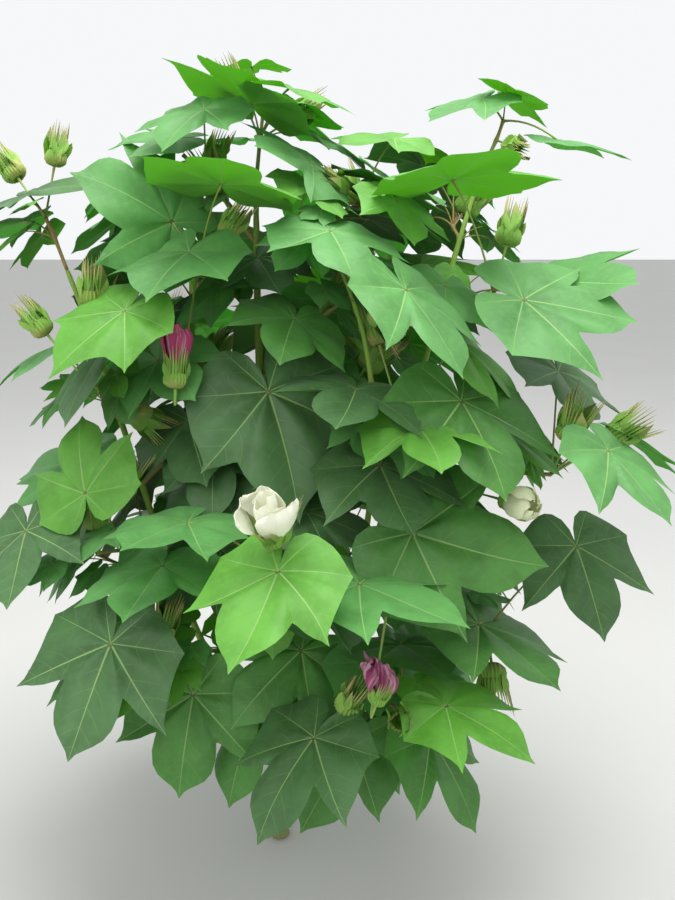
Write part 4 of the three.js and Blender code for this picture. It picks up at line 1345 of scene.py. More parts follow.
# %% Leaf stalks
STALK_STEPS = 7
STALK_SIDES = 6
STALK_WIDTHS = [(0, 1.8), (0.12, 1.25), (0.5, 1.05), (0.9, 1.1), (1, 1.4)]
FINE_SLIM = 0.75
STALK_GREEN = (0.22, 0.38, 0.06)
STALK_RED = (0.38, 0.18, 0.09)
STALK_FLUSH = 0.12
FLUSHES, FLUSH_EDGE = 14.0, (0.5, 0.78)
STALK_GRAIN = 90.0
STALK_RELIEF = 0.0006


def stem_finish(name, green, red, share):
    finish = Finish(name, Roughness=0.5, Specular_IOR_Level=0.45)
    flush = finish.step(finish.noise(FLUSHES), *[edge - share for edge in FLUSH_EDGE])
    grain = finish.noise(STALK_GRAIN, 2)
    colour = finish.mix(flush, shade(green), shade(red))
    finish.feed("Base Color", finish.mix(grain * 0.5, colour, shade(green, 1.25)))
    finish.bump(grain, 0.3, STALK_RELIEF)
    return finish


def stalk_curve(stalk):
    node, middle, joint = stalk
    control = 2 * middle - (node + joint) / 2
    shares = np.linspace(0, 1, STALK_STEPS + 1)[:, None]
    return (1 - shares) ** 2 * node + 2 * shares * (1 - shares) * control + shares ** 2 * joint


stalks = Heap()
stalk_radii = np.interp(np.linspace(0, 1, STALK_STEPS + 1), *zip(*STALK_WIDTHS))
for leaf in leaves:
    slim = FINE_SLIM if leaf["length"] < FINE_LIMIT else 1.0
    stalks.add(*tube(stalk_curve(leaf["stalk"]), stalk_radii * slim, STALK_SIDES))
stalk_skin = stem_finish("stalk_skin", STALK_GREEN, STALK_RED, STALK_FLUSH)
stalks.piece("leaf_stalks", [stalk_skin], "foliage")

# %% Twigs
TWIG_STEPS = 6
TWIG_ROUND = 8
TWIG_GREEN = (0.20, 0.30, 0.06)
TWIG_RED = (0.34, 0.16, 0.08)
TWIG_FLUSH = 0.15
NODE_SWELL = 0.35
NODE_WIDTH = 0.16


def through_points(points, steps):
    """A smooth curve through all the points, and how far along it each step is."""
    points = np.array([2 * points[0] - points[1], *points, 2 * points[-1] - points[-2]])
    places, shares = [], []
    for i in range(1, len(points) - 2):
        before, start, end, after = points[i - 1: i + 3]
        for step in range(steps + (i == len(points) - 3)):
            share = step / steps
            square = 2 * before - 5 * start + 4 * end - after
            cube = 3 * start - before - 3 * end + after
            place = 2 * start + (end - before) * share + square * share ** 2 + cube * share ** 3
            places.append(place / 2)
            shares.append(i - 1 + share)
    return np.array(places), np.array(shares)


twigs = Heap()
for branch in branches:
    places, shares = through_points(branch["points"], TWIG_STEPS)
    radii = np.interp(shares, range(len(branch["radii"])), branch["radii"])
    swelling = 1 + NODE_SWELL * np.exp(-((shares - np.round(shares)) / NODE_WIDTH) ** 2) * (shares > 0.5)
    twigs.add(*tube(places, radii * swelling, TWIG_ROUND))
twigs.piece("twigs", [stem_finish("twig_skin", TWIG_GREEN, TWIG_RED, TWIG_FLUSH)], "foliage")

# %% [markdown]
# Stem and boughs
# The stem is a tapering rod, not quite round, with a flare at the ground and a swelling where each branch
# leaves it. A curve with a bevel would be quick but even. Here a ring of twelve corners is drawn at the foot
# and extruded ring by ring along the limb, each ring turned to face along it and scaled to its radius.

# %% Rings of a limb
LIMB_ROUND = 12
CURVE_STEPS = 400
RING_GAP = 14
FOOT_RINGS = (0, 4, 9, 16, 25, 36)
BRANCH_SWELL = 0.17
SWELL_REACH = 11
LIMB_RELIEF = 0.0009
LIMB_LUMPS = 0.011


def limb_rings(limb):
    """Places, tangents and radii of the rings along a limb, closer together at the stem's foot."""
    shares = np.linspace(0, 1, CURVE_STEPS)
    curve = np.array([curve_point(limb["handles"], share) for share in shares])
    along = np.append(0, np.cumsum(np.linalg.norm(np.diff(curve, axis=0), axis=1)))
    first = list(FOOT_RINGS) if limb["name"] == "main_stem" else [0]
    rest = np.linspace(first[-1], along[-1], max(2, round((along[-1] - first[-1]) / RING_GAP)) + 1)[1:]
    shares = np.interp([*first, *rest], along, shares)
    places = np.array([curve_point(limb["handles"], share) for share in shares])
    roots = np.array([branch["root"] for branch in branches if branch["limb"] == limb["name"]])
    radii = []
    for share, place in zip(shares, places):
        near = np.linalg.norm(roots - place, axis=1).min()
        swelling = 1 + BRANCH_SWELL * math.exp(-(near / SWELL_REACH) ** 2)
        radii.append(limb_radius(limb, share, place[2]) * swelling)
    tangents = ring_tangents(places)
    tangents[0] = unit(limb["handles"][1] - limb["handles"][0])
    return places * MM, tangents, np.array(radii) * MM


def chosen_normal(limb_object):
    mesh = bmesh.from_edit_mesh(limb_object.data)
    mesh.normal_update()
    return next(face.normal.copy() for face in mesh.faces if face.select)


def turn_ring(limb_object, tangent, centre):
    """Turns the chosen ring about X and then Y until it faces along the limb."""
    for _ in range(2):
        normal = chosen_normal(limb_object)
        about_x = math.atan2(-tangent[1], tangent[2]) - math.atan2(-normal.y, normal.z)
        bpy.ops.transform.rotate(value=-about_x, orient_axis="X", center_override=centre)
        normal = chosen_normal(limb_object)
        about_y = math.atan2(tangent[0], tangent[2]) - math.atan2(normal.x, normal.z)
        bpy.ops.transform.rotate(value=-about_y, orient_axis="Y", center_override=centre)


def settle(piece):
    """Puts a modelled piece's place into its mesh, so that its object sits at the origin."""
    bpy.ops.object.select_all(action="DESELECT")
    piece.select_set(True)
    bpy.context.view_layer.objects.active = piece
    bpy.ops.object.transform_apply(location=True, rotation=True, scale=True)
    return piece


def apply_modifiers(piece):
    bpy.context.view_layer.objects.active = piece
    for modifier in list(piece.modifiers):
        bpy.ops.object.modifier_apply(modifier=modifier.name)


def grow_limb(limb):
    places, tangents, radii = limb_rings(limb)
    bpy.ops.object.select_all(action="DESELECT")
    bpy.ops.mesh.primitive_circle_add(vertices=LIMB_ROUND, radius=radii[0], fill_type="NGON",
                                      location=places[0])
    piece = bpy.context.object
    piece.name = f"{limb['name']}_bark"
    bpy.ops.object.mode_set(mode="EDIT")
    bpy.ops.mesh.select_mode(type="FACE")
    bpy.ops.mesh.select_all(action="SELECT")
    turn_ring(piece, tangents[0], tuple(places[0]))
    for i in range(1, len(places)):
        step = tuple(places[i] - places[i - 1])
        bpy.ops.mesh.extrude_region_move(TRANSFORM_OT_translate={"value": step})
        turn_ring(piece, tangents[i], tuple(places[i]))
        size = radii[i] / radii[i - 1]
        bpy.ops.transform.resize(value=(size, size, size), center_override=tuple(places[i]))
    bpy.ops.mesh.select_all(action="SELECT")
    bpy.ops.mesh.normals_make_consistent(inside=False)
    bpy.ops.object.mode_set(mode="OBJECT")
    return settle(piece)


lumps = bpy.data.textures.new("limb_lumps", "CLOUDS")
lumps.noise_scale = LIMB_LUMPS
limb_pieces = {name: grow_limb(limb) for name, limb in limbs.items()}
print({name: len(piece.data.polygons) for name, piece in limb_pieces.items()})

# %% [markdown]
# Skin of the stem and boughs
# A cotton stem is green, ripening to brown at its foot and flushed with dark red where the sun reaches it.
# Fine lengthwise ridges and small pale pores cover it. The ridges come from noise that is stretched along the
# height.

# %% Skin of the limbs
STEM_GREEN = (0.19, 0.30, 0.045)
STEM_RED = (0.30, 0.17, 0.07)
BOUGH_GREEN = (0.21, 0.35, 0.05)
BOUGH_RED = (0.32, 0.19, 0.075)
FOOT_BROWN = (0.17, 0.12, 0.07)
PORE_PALE = (0.42, 0.38, 0.24)
BROWN_HEIGHTS = (0.25, 0.02)
BROWN_EDGE, BROWN_SWAY = 30.0, 0.08
RIDGES = (260.0, 260.0, 26.0)
RIDGE_SHARE = 0.45
LIMB_FLUSHES = 16.0
LIMB_PORES = 240.0
PORE_SHARE = 0.6


def limb_finish(name, green, red):
    finish = Finish(name, Roughness=0.62, Specular_IOR_Level=0.4)
    place = finish.place()
    height = finish.parts(place)[2]
    ridge = finish.streaks(place, RIDGES, 3)
    flush = finish.step(finish.noise(LIMB_FLUSHES), 0.52, 0.74)
    colour = finish.mix(flush, shade(green), shade(red))
    brown = finish.step(finish.noise(BROWN_EDGE) * BROWN_SWAY + height, *BROWN_HEIGHTS)
    colour = finish.mix(brown, colour, shade(FOOT_BROWN))
    colour = finish.mix(ridge * RIDGE_SHARE, colour, shade(green, 1.5))
    pore = finish.dots(place, LIMB_PORES, 0.2, 0.12)
    finish.feed("Base Color", finish.mix(pore * PORE_SHARE, colour, shade(PORE_PALE)))
    finish.bump(ridge + pore * 0.5, 0.45, RELIEF)
    return finish


limb_skins = {"stem_bark": limb_finish("stem_skin", STEM_GREEN, STEM_RED),
              "bough_bark": limb_finish("bough_skin", BOUGH_GREEN, BOUGH_RED)}
for name, piece in limb_pieces.items():
    skin = "stem_bark" if name == "main_stem" else "bough_bark"
    rounding = piece.modifiers.new("rounding", "SUBSURF")
    rounding.levels = rounding.render_levels = 1
    relief = piece.modifiers.new("relief", "DISPLACE")
    relief.texture = lumps
    relief.strength = LIMB_RELIEF
    apply_modifiers(piece)
    piece.data.materials.append(limb_skins[skin].material)
    bpy.ops.object.shade_smooth()
    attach(piece, "root")
    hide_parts(name)
print(len(limb_pieces), "limbs dressed")

# %% [markdown]
# Bracts
# Each bud, flower and boll of cotton sits in three green bracts, broad and cupped, with long narrow teeth.
# One bract is modelled from a flat grid: its columns are set on an arc, its rows are scaled to the outline,
# so that the arc becomes a cup round the fruit, and every other point of its margin is drawn out to a tooth.
# It is modelled once and copied.

# %% Model one bract
BRACT_LENGTH = 0.029
BRACT_ROWS = [(0.0, 0.20), (0.06, 0.37), (0.2, 0.50), (0.4, 0.51), (0.6, 0.44), (0.78, 0.32)]
BRACT_COLUMNS = 14
BRACT_ARC = 1.1
BRACT_RIDGE = 0.07
BRACT_TOOTH = 1.2
OUTER_TOOTH = 0.4
TOOTH_LEAN = (0.2, 0.12)
SIDE_TOOTH = 0.5
SIDE_TOOTH_ROWS = slice(2, 5)
SIDE_TOOTH_LEAN = (0.35, -0.2)
BRACT_WALL = 0.0004


def choose(piece, indices):
    """Selects the named vertices of a piece that is in edit mode."""
    bpy.ops.mesh.select_all(action="DESELECT")
    mesh = bmesh.from_edit_mesh(piece.data)
    mesh.verts.ensure_lookup_table()
    for index in indices:
        mesh.verts[index].select = True
    mesh.select_flush_mode()
    bmesh.update_edit_mesh(piece.data)


def lines_of(piece, axis):
    """The vertices of a flat grid, gathered into rows or columns along an axis."""
    lines = {}
    for vertex in piece.data.vertices:
        lines.setdefault(round(vertex.co[axis], 5), []).append(vertex.index)
    return [lines[key] for key in sorted(lines)]


def cup_grid(piece, rows, columns, places):
    """Sets the columns of a flat grid on an arc and scales its rows to the outline of a bract."""
    for number, column in enumerate(columns):
        across = number / (len(columns) - 1) * 2 - 1
        turn = across * BRACT_ARC
        ridge = BRACT_RIDGE * (-1) ** number
        choose(piece, column)
        on_arc = (math.sin(turn) / BRACT_ARC - across, 0, (math.cos(turn) - 1) / BRACT_ARC + ridge)
        bpy.ops.transform.translate(value=on_arc)
    for row, (height, half_width) in zip(rows, BRACT_ROWS):
        choose(piece, row)
        here = places[row[0]].y
        size = half_width * BRACT_LENGTH
        bpy.ops.transform.resize(value=(size, 1, size), center_override=(0, here, 0))
        bpy.ops.transform.translate(value=(0, height * BRACT_LENGTH - here, 0))


def draw_teeth(piece, rows, columns, places):
    """Draws every other point of a bract's upper margin, and the ends of some rows, out to teeth."""
    sideways, outward = TOOTH_LEAN
    for number, column in enumerate(columns[1::2]):
        across = (number * 2 + 1) / (len(columns) - 1) * 2 - 1
        tooth = BRACT_TOOTH * BRACT_LENGTH * (1 - OUTER_TOOTH * abs(across))
        choose(piece, [max(column, key=lambda index: places[index].y)])
        bpy.ops.transform.translate(value=(sideways * tooth * across, tooth, outward * tooth))
    sideways, outward = SIDE_TOOTH_LEAN
    tooth = SIDE_TOOTH * BRACT_LENGTH
    for row in rows[SIDE_TOOTH_ROWS]:
        for side in (-1, 1):
            choose(piece, [max(row, key=lambda index: places[index].x * side)])
            bpy.ops.transform.translate(value=(side * tooth * sideways, tooth, outward * tooth))


def model_bract():
    bpy.ops.object.select_all(action="DESELECT")
    bpy.ops.mesh.primitive_grid_add(x_subdivisions=BRACT_COLUMNS, y_subdivisions=len(BRACT_ROWS) - 1, size=2)
    piece = bpy.context.object
    rows, columns = lines_of(piece, 1), lines_of(piece, 0)
    places = [vertex.co.copy() for vertex in piece.data.vertices]
    bpy.ops.object.mode_set(mode="EDIT")
    bpy.ops.mesh.select_mode(type="VERT")
    cup_grid(piece, rows, columns, places)
    draw_teeth(piece, rows, columns, places)
    bpy.ops.object.mode_set(mode="OBJECT")
    wall = piece.modifiers.new("wall", "SOLIDIFY")
    wall.thickness = BRACT_WALL
    apply_modifiers(piece)
    return piece


def prototype(piece):
    """Vertices in millimetres and faces of a modelled shape, whose object is then removed."""
    points = np.array([vertex.co for vertex in piece.data.vertices]) / MM
    faces = [list(face.vertices) for face in piece.data.polygons]
    bpy.data.objects.remove(piece)
    return points, faces


bract_points, bract_faces = prototype(model_bract())
bract_chart = bract_points[:, :2] / (BRACT_LENGTH / MM)
bract_ring = np.interp(bract_chart[:, 1], *zip(*BRACT_ROWS)) * BRACT_LENGTH / MM / BRACT_ARC
print("a bract has", len(bract_faces), "faces")

# %% [markdown]
# Bolls
# A green boll is an egg with a short beak and four shallow grooves, where it will later split. A sphere is
# drawn out to its beak, and the points on four of its meridians are pulled in.

# %% Model one boll
BOLL_RADIUS = 0.0115
BOLL_SEGMENTS = 16
BOLL_RINGS = 9
BOLL_TALL = 1.2
BOLL_GROOVES = 4
GROOVE_FROM = 0.3
GROOVE_DEPTH = 0.9
BOLL_BEAK = 0.005


def model_boll():
    bpy.ops.object.select_all(action="DESELECT")
    middle = BOLL_RADIUS * BOLL_TALL
    bpy.ops.mesh.primitive_uv_sphere_add(segments=BOLL_SEGMENTS, ring_count=BOLL_RINGS, radius=BOLL_RADIUS,
                                         location=(0, 0, middle))
    piece = bpy.context.object
    places = [vertex.co.copy() for vertex in piece.data.vertices]
    sectors = BOLL_SEGMENTS // BOLL_GROOVES
    grooves, top = [], max(range(len(places)), key=lambda index: places[index].z)
    for index, place in enumerate(places):
        sector = round(math.atan2(place.y, place.x) / (2 * math.pi) * BOLL_SEGMENTS)
        if sector % sectors == 0 and math.hypot(place.x, place.y) > BOLL_RADIUS * GROOVE_FROM:
            grooves.append(index)
    bpy.ops.object.mode_set(mode="EDIT")
    bpy.ops.mesh.select_mode(type="VERT")
    bpy.ops.mesh.select_all(action="SELECT")
    bpy.ops.transform.resize(value=(1, 1, BOLL_TALL), center_override=(0, 0, middle))
    choose(piece, grooves)
    bpy.ops.transform.resize(value=(GROOVE_DEPTH, GROOVE_DEPTH, 1), center_override=(0, 0, middle))
    choose(piece, [top])
    bpy.ops.transform.translate(value=(0, 0, BOLL_BEAK))
    bpy.ops.object.mode_set(mode="OBJECT")
    settle(piece)
    rounding = piece.modifiers.new("rounding", "SUBSURF")
    rounding.levels = rounding.render_levels = 1
    apply_modifiers(piece)
    return piece


boll_points, boll_faces = prototype(model_boll())
print("a boll has", len(boll_faces), "faces")

# %% [markdown]
# Petals
# An open flower is a cup of five thin petals that overlap like roof tiles, each with a ruffled margin. A
# faded one rolls up and turns pink, and a withered one is crumpled. Ruffles and notches need every point
# placed by itself, so a petal is an array of rows and columns, bent round the flower's axis and given a thin
# wall.

# %% Petals as bent sheets
PETAL_ROWS = 10
PETAL_COLUMNS = 12
PETAL_WALL = 0.3
PETALS = 5
PETAL_ROUND = 0.06
CLOSED_LIFT = 9
CORE_RADIUS = 7
RUFFLE_CURVE = 2.5
RUFFLE_DRAW = (0.8, 1.25)
RUFFLE_LIFT, LIFT_WAVES = 0.6, 1.3
BEND_HEIGHT = 40
TINY = 1e-9

# A profile has the share of a petal's length, then the radius and height there. The half widths go with such
# shares too. All lengths are in millimetres.
FLOWERS = {
    "bloom": dict(profile=[(0, 3, 5), (0.25, 13, 15), (0.5, 23, 28), (0.75, 28, 42), (1, 23, 54)],
                  half=[(0, 4), (0.25, 17), (0.5, 30), (0.78, 37), (0.93, 33), (1, 23)],
                  opens=(1.0, 0.45, 0.9, 0.25, 0.7), ruffle=2.6, waves=1.8, lap=4.0, twist=34, bend=0,
                  notch=0.08),
    "pale": dict(profile=[(0, 3, 5), (0.25, 12, 14), (0.5, 19, 26), (0.75, 18, 40), (1, 7, 49)],
                 half=[(0, 4), (0.25, 14), (0.5, 21), (0.78, 22), (0.93, 16), (1, 10)],
                 opens=(1.0, 0.92, 1.05, 0.85, 0.7), ruffle=1.6, waves=1.4, lap=2.8, twist=14, bend=0,
                 notch=0.05),
    "pink": dict(profile=[(0, 3, 5), (0.25, 8, 24), (0.5, 12, 41), (0.75, 15, 55), (1, 11, 66)],
                 half=[(0, 4), (0.25, 10), (0.5, 17), (0.78, 19), (0.93, 16), (1, 11)],
                 opens=(1.0, 0.85, 1.3, 0.7, 1.0), ruffle=1.7, waves=1.5, lap=2.6, twist=22, bend=2,
                 notch=0.07),
    "withered": dict(profile=[(0, 3, 5), (0.25, 8, 13), (0.5, 14, 22), (0.75, 15, 33), (1, 6, 41)],
                     half=[(0, 4), (0.25, 11), (0.5, 18), (0.78, 19), (0.93, 16), (1, 12)],
                     opens=(1.1, 0.5, 1.3, 0.4, 0.9), ruffle=5.4, waves=2.4, lap=4.0, twist=80, bend=12,
                     notch=0.16),
}


def sheet_shape(grid, wall):
    """A closed thin sheet from a grid of points: its front, its back and the strip round its margin."""
    rows, columns = grid.shape[:2]
    down, across = np.gradient(grid, axis=0), np.gradient(grid, axis=1)
    normal = np.cross(across, down)
    normal = normal / np.maximum(np.linalg.norm(normal, axis=-1, keepdims=True), TINY)
    points = np.vstack((grid.reshape(-1, 3), (grid - normal * wall).reshape(-1, 3)))
    back = rows * columns
    faces = []
    for i in range(rows - 1):
        for j in range(columns - 1):
            a = i * columns + j
            b, c, d = a + 1, a + columns + 1, a + columns
            faces += [(a, b, c, d), (back + a, back + d, back + c, back + b)]
    first_row, right_side = range(columns), range(2 * columns - 1, back, columns)
    last_row = range(back - 2, back - columns - 1, -1)
    left_side = range(back - 2 * columns, 0, -columns)
    rim = [*first_row, *right_side, *last_row, *left_side]
    for k, corner in enumerate(rim):
        after = rim[(k + 1) % len(rim)]
        faces.append((after, corner, back + corner, back + after))
    return points, faces


def petal(flower, number, draw):
    """The points of one petal in rows and columns. The flower says how it opens, ruffles and twists."""
    along = np.linspace(0, 1, PETAL_ROWS)[:, None]
    across = np.linspace(-1, 1, PETAL_COLUMNS)[None, :]
    notch = flower["notch"] * np.array([draw() for _ in range(PETAL_COLUMNS)])[None, :]
    reach = along * (1 - notch * along ** 5 - PETAL_ROUND * across ** 2 * along ** 4)
    shares, radii, heights = zip(*flower["profile"])
    opens = flower["opens"][number]
    radius = np.interp(reach, shares, radii)
    radius = radius[0, 0] + (radius - radius[0, 0]) * opens
    height = np.interp(reach, shares, heights) + (1 - opens) * CLOSED_LIFT * reach
    half = np.interp(along, *zip(*flower["half"]))
    turn = across * half / (radius + CORE_RADIUS)
    ruffle = flower["ruffle"] * reach ** RUFFLE_CURVE
    waves, start = flower["waves"] * draw(*RUFFLE_DRAW), draw(*PHASES)
    wave = waves * math.pi * across
    radius = radius + flower["lap"] * across * along ** 0.5 + ruffle * np.sin(wave + start)
    height = height + RUFFLE_LIFT * ruffle * np.cos(LIFT_WAVES * wave + start * 2)
    turn = turn + 2 * math.pi * number / PETALS + math.radians(flower["twist"]) * along
    bend = flower["bend"] * (height / BEND_HEIGHT) ** 2
    return np.stack((radius * np.cos(turn) + bend, radius * np.sin(turn), height), -1)


def petal_chart():
    along = np.repeat(np.linspace(0, 1, PETAL_ROWS), PETAL_COLUMNS)
    across = np.tile(np.linspace(-1, 1, PETAL_COLUMNS), PETAL_ROWS)
    return np.tile(np.stack((across, along), -1), (2, 1))


print(len(FLOWERS), "kinds of flower")

# %% [markdown]
# Setting the fruit in place
# A fruit points away from its node. Its parts are modelled upright at the origin, so each copy is turned
# until its own height lies along the fruit's axis, and every fruit gets its own spin and size. Faded flowers
# are the exception: their stalks droop and turn up again, so they stand in the same room the other way up.

# %% Copies on each fruit's axis
BRACTS = 3
FRUIT_LOOKS = {"bud": dict(bract=0.95, lean=-2, core=0.5), "boll": dict(bract=1.02, lean=10, core=1.0),
               "bloom": dict(bract=0.8, lean=26, core=0), "pale": dict(bract=0.66, lean=12, core=0),
               "pink": dict(bract=0.8, lean=3, core=0), "withered": dict(bract=0.6, lean=18, core=0)}
TURNED_UP = {"pink": dict(foot=(-88, -166, 650), top=(-86, -154, 705)),
             "withered": dict(foot=(117, -278, 352), top=(131, -276, 400))}
BLOOM_TILT = (-0.16, -0.40, 0.90)
FRUIT_FRONT = (0.2, -1.0, 0.1)
FRUIT_SEED, FRUIT_STRIDE = 900, 31
FULL_TURN = (0, 2 * math.pi)
BRACT_DRAW = (0.9, 1.1)
LEAN_DRAW = (-4, 4)
CORE_DRAW = (0.85, 1.1)
FRUIT_STALK_PLACES = (0, 0.4, 0.8, 1)
FRUIT_STALK_RADII = (1.5, 1.2, 1.3, 1.9)
FRUIT_STALK_STEPS, FRUIT_STALK_SIDES = 3, 6
STALK_DROOP = 16

STAMEN_COLUMN = [(6, 2.2), (12, 1.6), (18, 1.1)]
COLUMN_SIDES = 8
STAMENS = 46
STAMEN_REACH = (2.5, 5)
STAMEN_HEIGHTS = (9, 19)
KNOB = np.array([(1, 0, 0), (0, 1, 0), (-1, 0, 0), (0, -1, 0), (0, 0, 1), (0, 0, -1)])
KNOB_FACES = [(0, 1, 4), (1, 2, 4), (2, 3, 4), (3, 0, 4), (1, 0, 5), (2, 1, 5), (3, 2, 5), (0, 3, 5)]
WITH_STAMENS = ("bloom", "pale")


def turn_up(fruit):
    """Stands a faded flower upright in its room, on a stalk that droops and then rises under it."""
    place = TURNED_UP[fruit["kind"]]
    foot, top = np.array(place["foot"], float), np.array(place["top"], float)
    fruit["axis"] = unit(top - foot)
    behind = mix(fruit["node"], foot, 0.5) + np.array((0.0, STALK_DROOP, 0.0))
    under = foot - fruit["axis"] * STALK_DROOP + np.array((0.0, STALK_DROOP / 2, 0.0))
    fruit["foot"] = foot
    return [fruit["node"], behind, under, foot]


def fruit_axes(fruit, spin):
    axis = fruit["axis"]
    side = unit(np.cross(axis, FRUIT_FRONT))
    other = np.cross(axis, side)
    cos, sin = math.cos(spin), math.sin(spin)
    return np.stack((cos * side + sin * other, cos * other - sin * side, axis))


def set_bracts(fruit, axes, draw):
    look = FRUIT_LOOKS[fruit["kind"]]
    for number in range(BRACTS):
        size = look["bract"] * draw(*BRACT_DRAW)
        x, up, z = (bract_points * size).T
        lean = math.radians(look["lean"] + draw(*LEAN_DRAW))
        out = z + bract_ring * size + math.tan(lean) * up
        turn = 2 * math.pi * number / BRACTS
        cos, sin = math.cos(turn), math.sin(turn)
        upright = np.stack((out * cos - x * sin, out * sin + x * cos, up), -1)
        heap_of["bracts"].add(fruit["foot"] + upright @ axes, bract_faces, chart=bract_chart)


def set_petals(fruit, axes, draw):
    flower = FLOWERS[fruit["kind"]]
    for number in range(PETALS):
        points, faces = sheet_shape(petal(flower, number, draw), PETAL_WALL)
        heap_of[f"petals_{fruit['kind']}"].add(fruit["foot"] + points @ axes, faces, chart=petal_chart())


def set_stamens(fruit, axes, draw):
    """A thin column up the flower, with small knobs all round its upper part."""
    heights, radii = zip(*STAMEN_COLUMN)
    column = np.array([(0, 0, height) for height in heights])
    rod, faces = tube(fruit["foot"] + column @ axes, radii, COLUMN_SIDES)
    heap_of["stamens"].add(rod, faces)
    for _ in range(STAMENS):
        turn, reach = draw(*FULL_TURN), draw(*STAMEN_REACH)
        place = np.array((reach * math.cos(turn), reach * math.sin(turn), draw(*STAMEN_HEIGHTS)))
        heap_of["stamens"].add(fruit["foot"] + (KNOB + place) @ axes, KNOB_FACES)


def set_stalk(fruit):
    """The fruit's stalk, straight to its foot, or drooping and rising again under a faded flower."""
    places = [mix(fruit["node"], fruit["foot"], share) for share in FRUIT_STALK_PLACES]
    if fruit["kind"] in TURNED_UP:
        places = turn_up(fruit)
    places, shares = through_points(places, FRUIT_STALK_STEPS)
    radii = np.interp(shares, range(len(FRUIT_STALK_RADII)), FRUIT_STALK_RADII)
    heap_of["fruit_stalks"].add(*tube(places, radii, FRUIT_STALK_SIDES))


PETAL_HEAPS = [f"petals_{kind}" for kind in FLOWERS]
heap_of = {name: Heap() for name in ("bracts", "bolls", "fruit_stalks", "stamens", *PETAL_HEAPS)}
for number, fruit in enumerate(fruits):
    draw = draws(FRUIT_SEED + number * FRUIT_STRIDE)
    draw()
    set_stalk(fruit)
    if fruit["kind"] == "bloom":
        fruit["axis"] = unit(np.array(BLOOM_TILT))
    axes = fruit_axes(fruit, draw(*FULL_TURN))
    set_bracts(fruit, axes, draw)
    core = FRUIT_LOOKS[fruit["kind"]]["core"]
    if core:
        size = core * draw(*CORE_DRAW)
        heap_of["bolls"].add(fruit["foot"] + boll_points * size @ axes, boll_faces)
    else:
        set_petals(fruit, axes, draw)
    if fruit["kind"] in WITH_STAMENS:
        set_stamens(fruit, axes, draw)
print({name: len(heap.faces) for name, heap in heap_of.items()})

# %% [markdown]
# Finish of fruit and flowers
# Bracts are a fresh yellow green with pale tan teeth. Bolls are smooth, waxy and dotted with tiny dark
# glands. Petals are cream with a green base, and when they fade they turn pink in streaks. The streaks follow
# a map of the petal, one direction across it and one along it, so they run the way its veins do.

# %% Finish of bracts, bolls and petals
BRACT_GREEN = (0.29, 0.53, 0.10)
BRACT_TAN = (0.64, 0.49, 0.20)
BRACT_TIP = (0.62, 0.56, 0.24)
BOLL_GREEN = (0.15, 0.31, 0.05)
BOLL_GLAND = (0.05, 0.09, 0.02)
CREAM = (0.97, 0.975, 0.86)
CREAM_BASE = (0.62, 0.70, 0.28)
PALE_CREAM = (0.90, 0.93, 0.66)
PINK = (0.66, 0.09, 0.26)
PINK_STREAK = (0.90, 0.60, 0.70)
PLUM = (0.36, 0.05, 0.16)
PLUM_EDGE = (0.78, 0.46, 0.58)
STAMEN_YELLOW = (0.80, 0.66, 0.30)
FRUIT_STALK_GREEN, FRUIT_STALK_FLUSH = (0.22, 0.36, 0.07), 0.05
SHARP_FROM = math.radians(50)

BRACT_VEINS = (16.0, 1.5, 1.0)
BRACT_FLUSHES, BRACT_FLUSH_EDGE = 22.0, (0.58, 0.84)
BRACT_TIP_WOBBLE, BRACT_TIP_EDGE = 90.0, (1.1, 1.8)
BRACT_GLOW, BRACT_GLOW_SHARE = (0.42, 0.66, 0.06), 0.34
BOLL_GLANDS, BOLL_BLOTCHES = 900.0, 60.0
BOLL_GRAIN, BOLL_RELIEF = 400.0, 0.0005
PETAL_VEINS = (5.0, 0.8, 1.0)
PETAL_STREAKS = (0.62, 0.72)
PETAL_FOOT, PETAL_FOOT_SHARE = (0.36, 0.06), 0.85
PETAL_GLOW_SHARE = 0.35
STAMEN_GRAIN = 500.0

# Name, colour, colour of the foot, colour and share of the streaks, and colour of the light coming through.
PETAL_LOOKS = {
    "bloom": ("petal_cream", CREAM, CREAM_BASE, shade(CREAM, 0.93)[:3], 0.1, CREAM),
    "pale": ("petal_pale", PALE_CREAM, CREAM_BASE, CREAM, 0.12, PALE_CREAM),
    "pink": ("petal_pink", PINK, PINK_STREAK, PINK_STREAK, 0.1, PINK),
    "withered": ("petal_withered", PLUM, PLUM, PLUM_EDGE, 0.17, PLUM_EDGE),
}


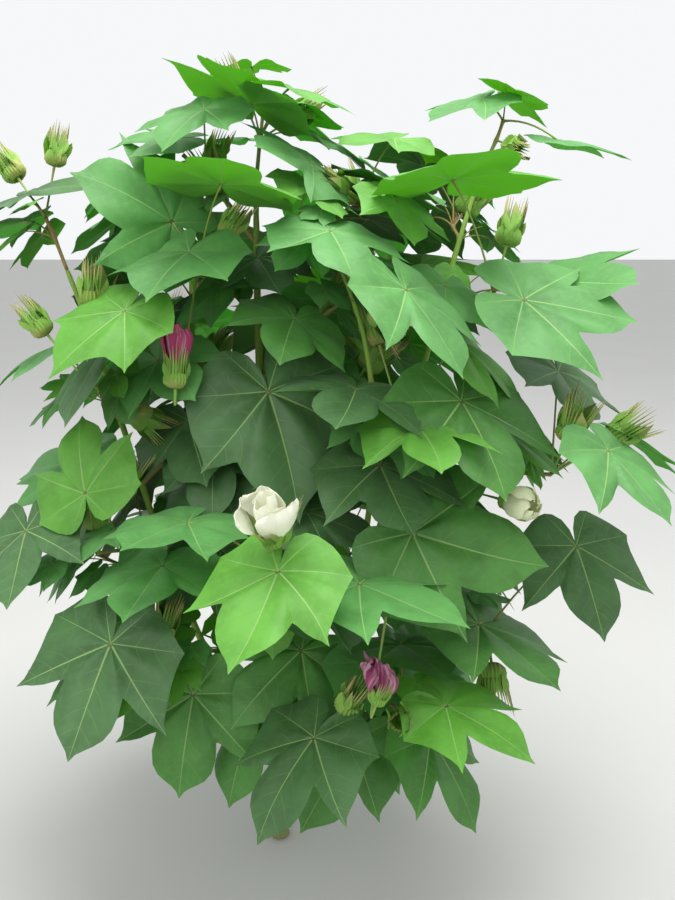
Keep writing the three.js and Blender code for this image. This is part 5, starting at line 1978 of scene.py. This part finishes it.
def bract_finish():
    finish = Finish("bract_skin", Roughness=0.6, Specular_IOR_Level=0.35)
    chart = finish.chart()
    along = finish.parts(chart)[1]
    vein = finish.streaks(chart, BRACT_VEINS, 2)
    colour = finish.varied(vein, BRACT_GREEN, 0.75, 1.35)
    flush = finish.noise(BRACT_FLUSHES) + vein * 0.4 - along * 0.3
    flushed = finish.step(flush, *BRACT_FLUSH_EDGE)
    colour = finish.mix(flushed * 0.7, colour, shade(BRACT_TAN))
    tip = finish.step(along + finish.noise(BRACT_TIP_WOBBLE) * 0.5, *BRACT_TIP_EDGE)
    finish.feed("Base Color", finish.mix(tip, colour, shade(BRACT_TIP)))
    finish.bump(vein, 0.6, RELIEF)
    finish.glow(BRACT_GLOW, BRACT_GLOW_SHARE)
    return finish


def boll_finish():
    finish = Finish("boll_skin", Roughness=0.38, Specular_IOR_Level=0.5)
    glands = finish.dots(finish.place(), BOLL_GLANDS, 0.22, 0.1)
    colour = finish.varied(finish.noise(BOLL_BLOTCHES), BOLL_GREEN, 0.85, 1.2)
    finish.feed("Base Color", finish.mix(glands * 0.7, colour, shade(BOLL_GLAND)))
    finish.bump(finish.noise(BOLL_GRAIN), 0.15, BOLL_RELIEF)
    return finish


def petal_finish(name, colour, base, streak, streak_share, glow_colour):
    finish = Finish(name, Roughness=0.62, Specular_IOR_Level=0.3)
    chart = finish.chart()
    along = finish.parts(chart)[1]
    vein = finish.streaks(chart, PETAL_VEINS, 4)
    low, high = PETAL_STREAKS
    streaks = finish.step(vein, low - streak_share, high - streak_share * 0.5)
    face = finish.mix(streaks, shade(colour), shade(streak))
    foot = finish.step(along, *PETAL_FOOT)
    finish.feed("Base Color", finish.mix(foot * PETAL_FOOT_SHARE, face, shade(base)))
    finish.bump(vein, 0.35, RELIEF)
    finish.glow(glow_colour, PETAL_GLOW_SHARE)
    return finish


def stamen_finish():
    finish = Finish("stamen_skin", Roughness=0.7)
    finish.feed("Base Color", finish.varied(finish.noise(STAMEN_GRAIN), STAMEN_YELLOW, 1, 1.15))
    return finish


stalk_look = ("fruit_stalk_skin", FRUIT_STALK_GREEN, STALK_RED, FRUIT_STALK_FLUSH)
looks = {
    "bracts": (bract_finish(), "fruit"),
    "bolls": (boll_finish(), "fruit"),
    "fruit_stalks": (stem_finish(*stalk_look), "fruit"),
    "stamens": (stamen_finish(), "petals"),
}
for kind, look in PETAL_LOOKS.items():
    looks[f"petals_{kind}"] = (petal_finish(*look), "petals")
for name, heap in heap_of.items():
    finish, slot = looks[name]
    piece = heap.piece(name, [finish], slot)
    piece.data.set_sharp_from_angle(angle=SHARP_FROM)
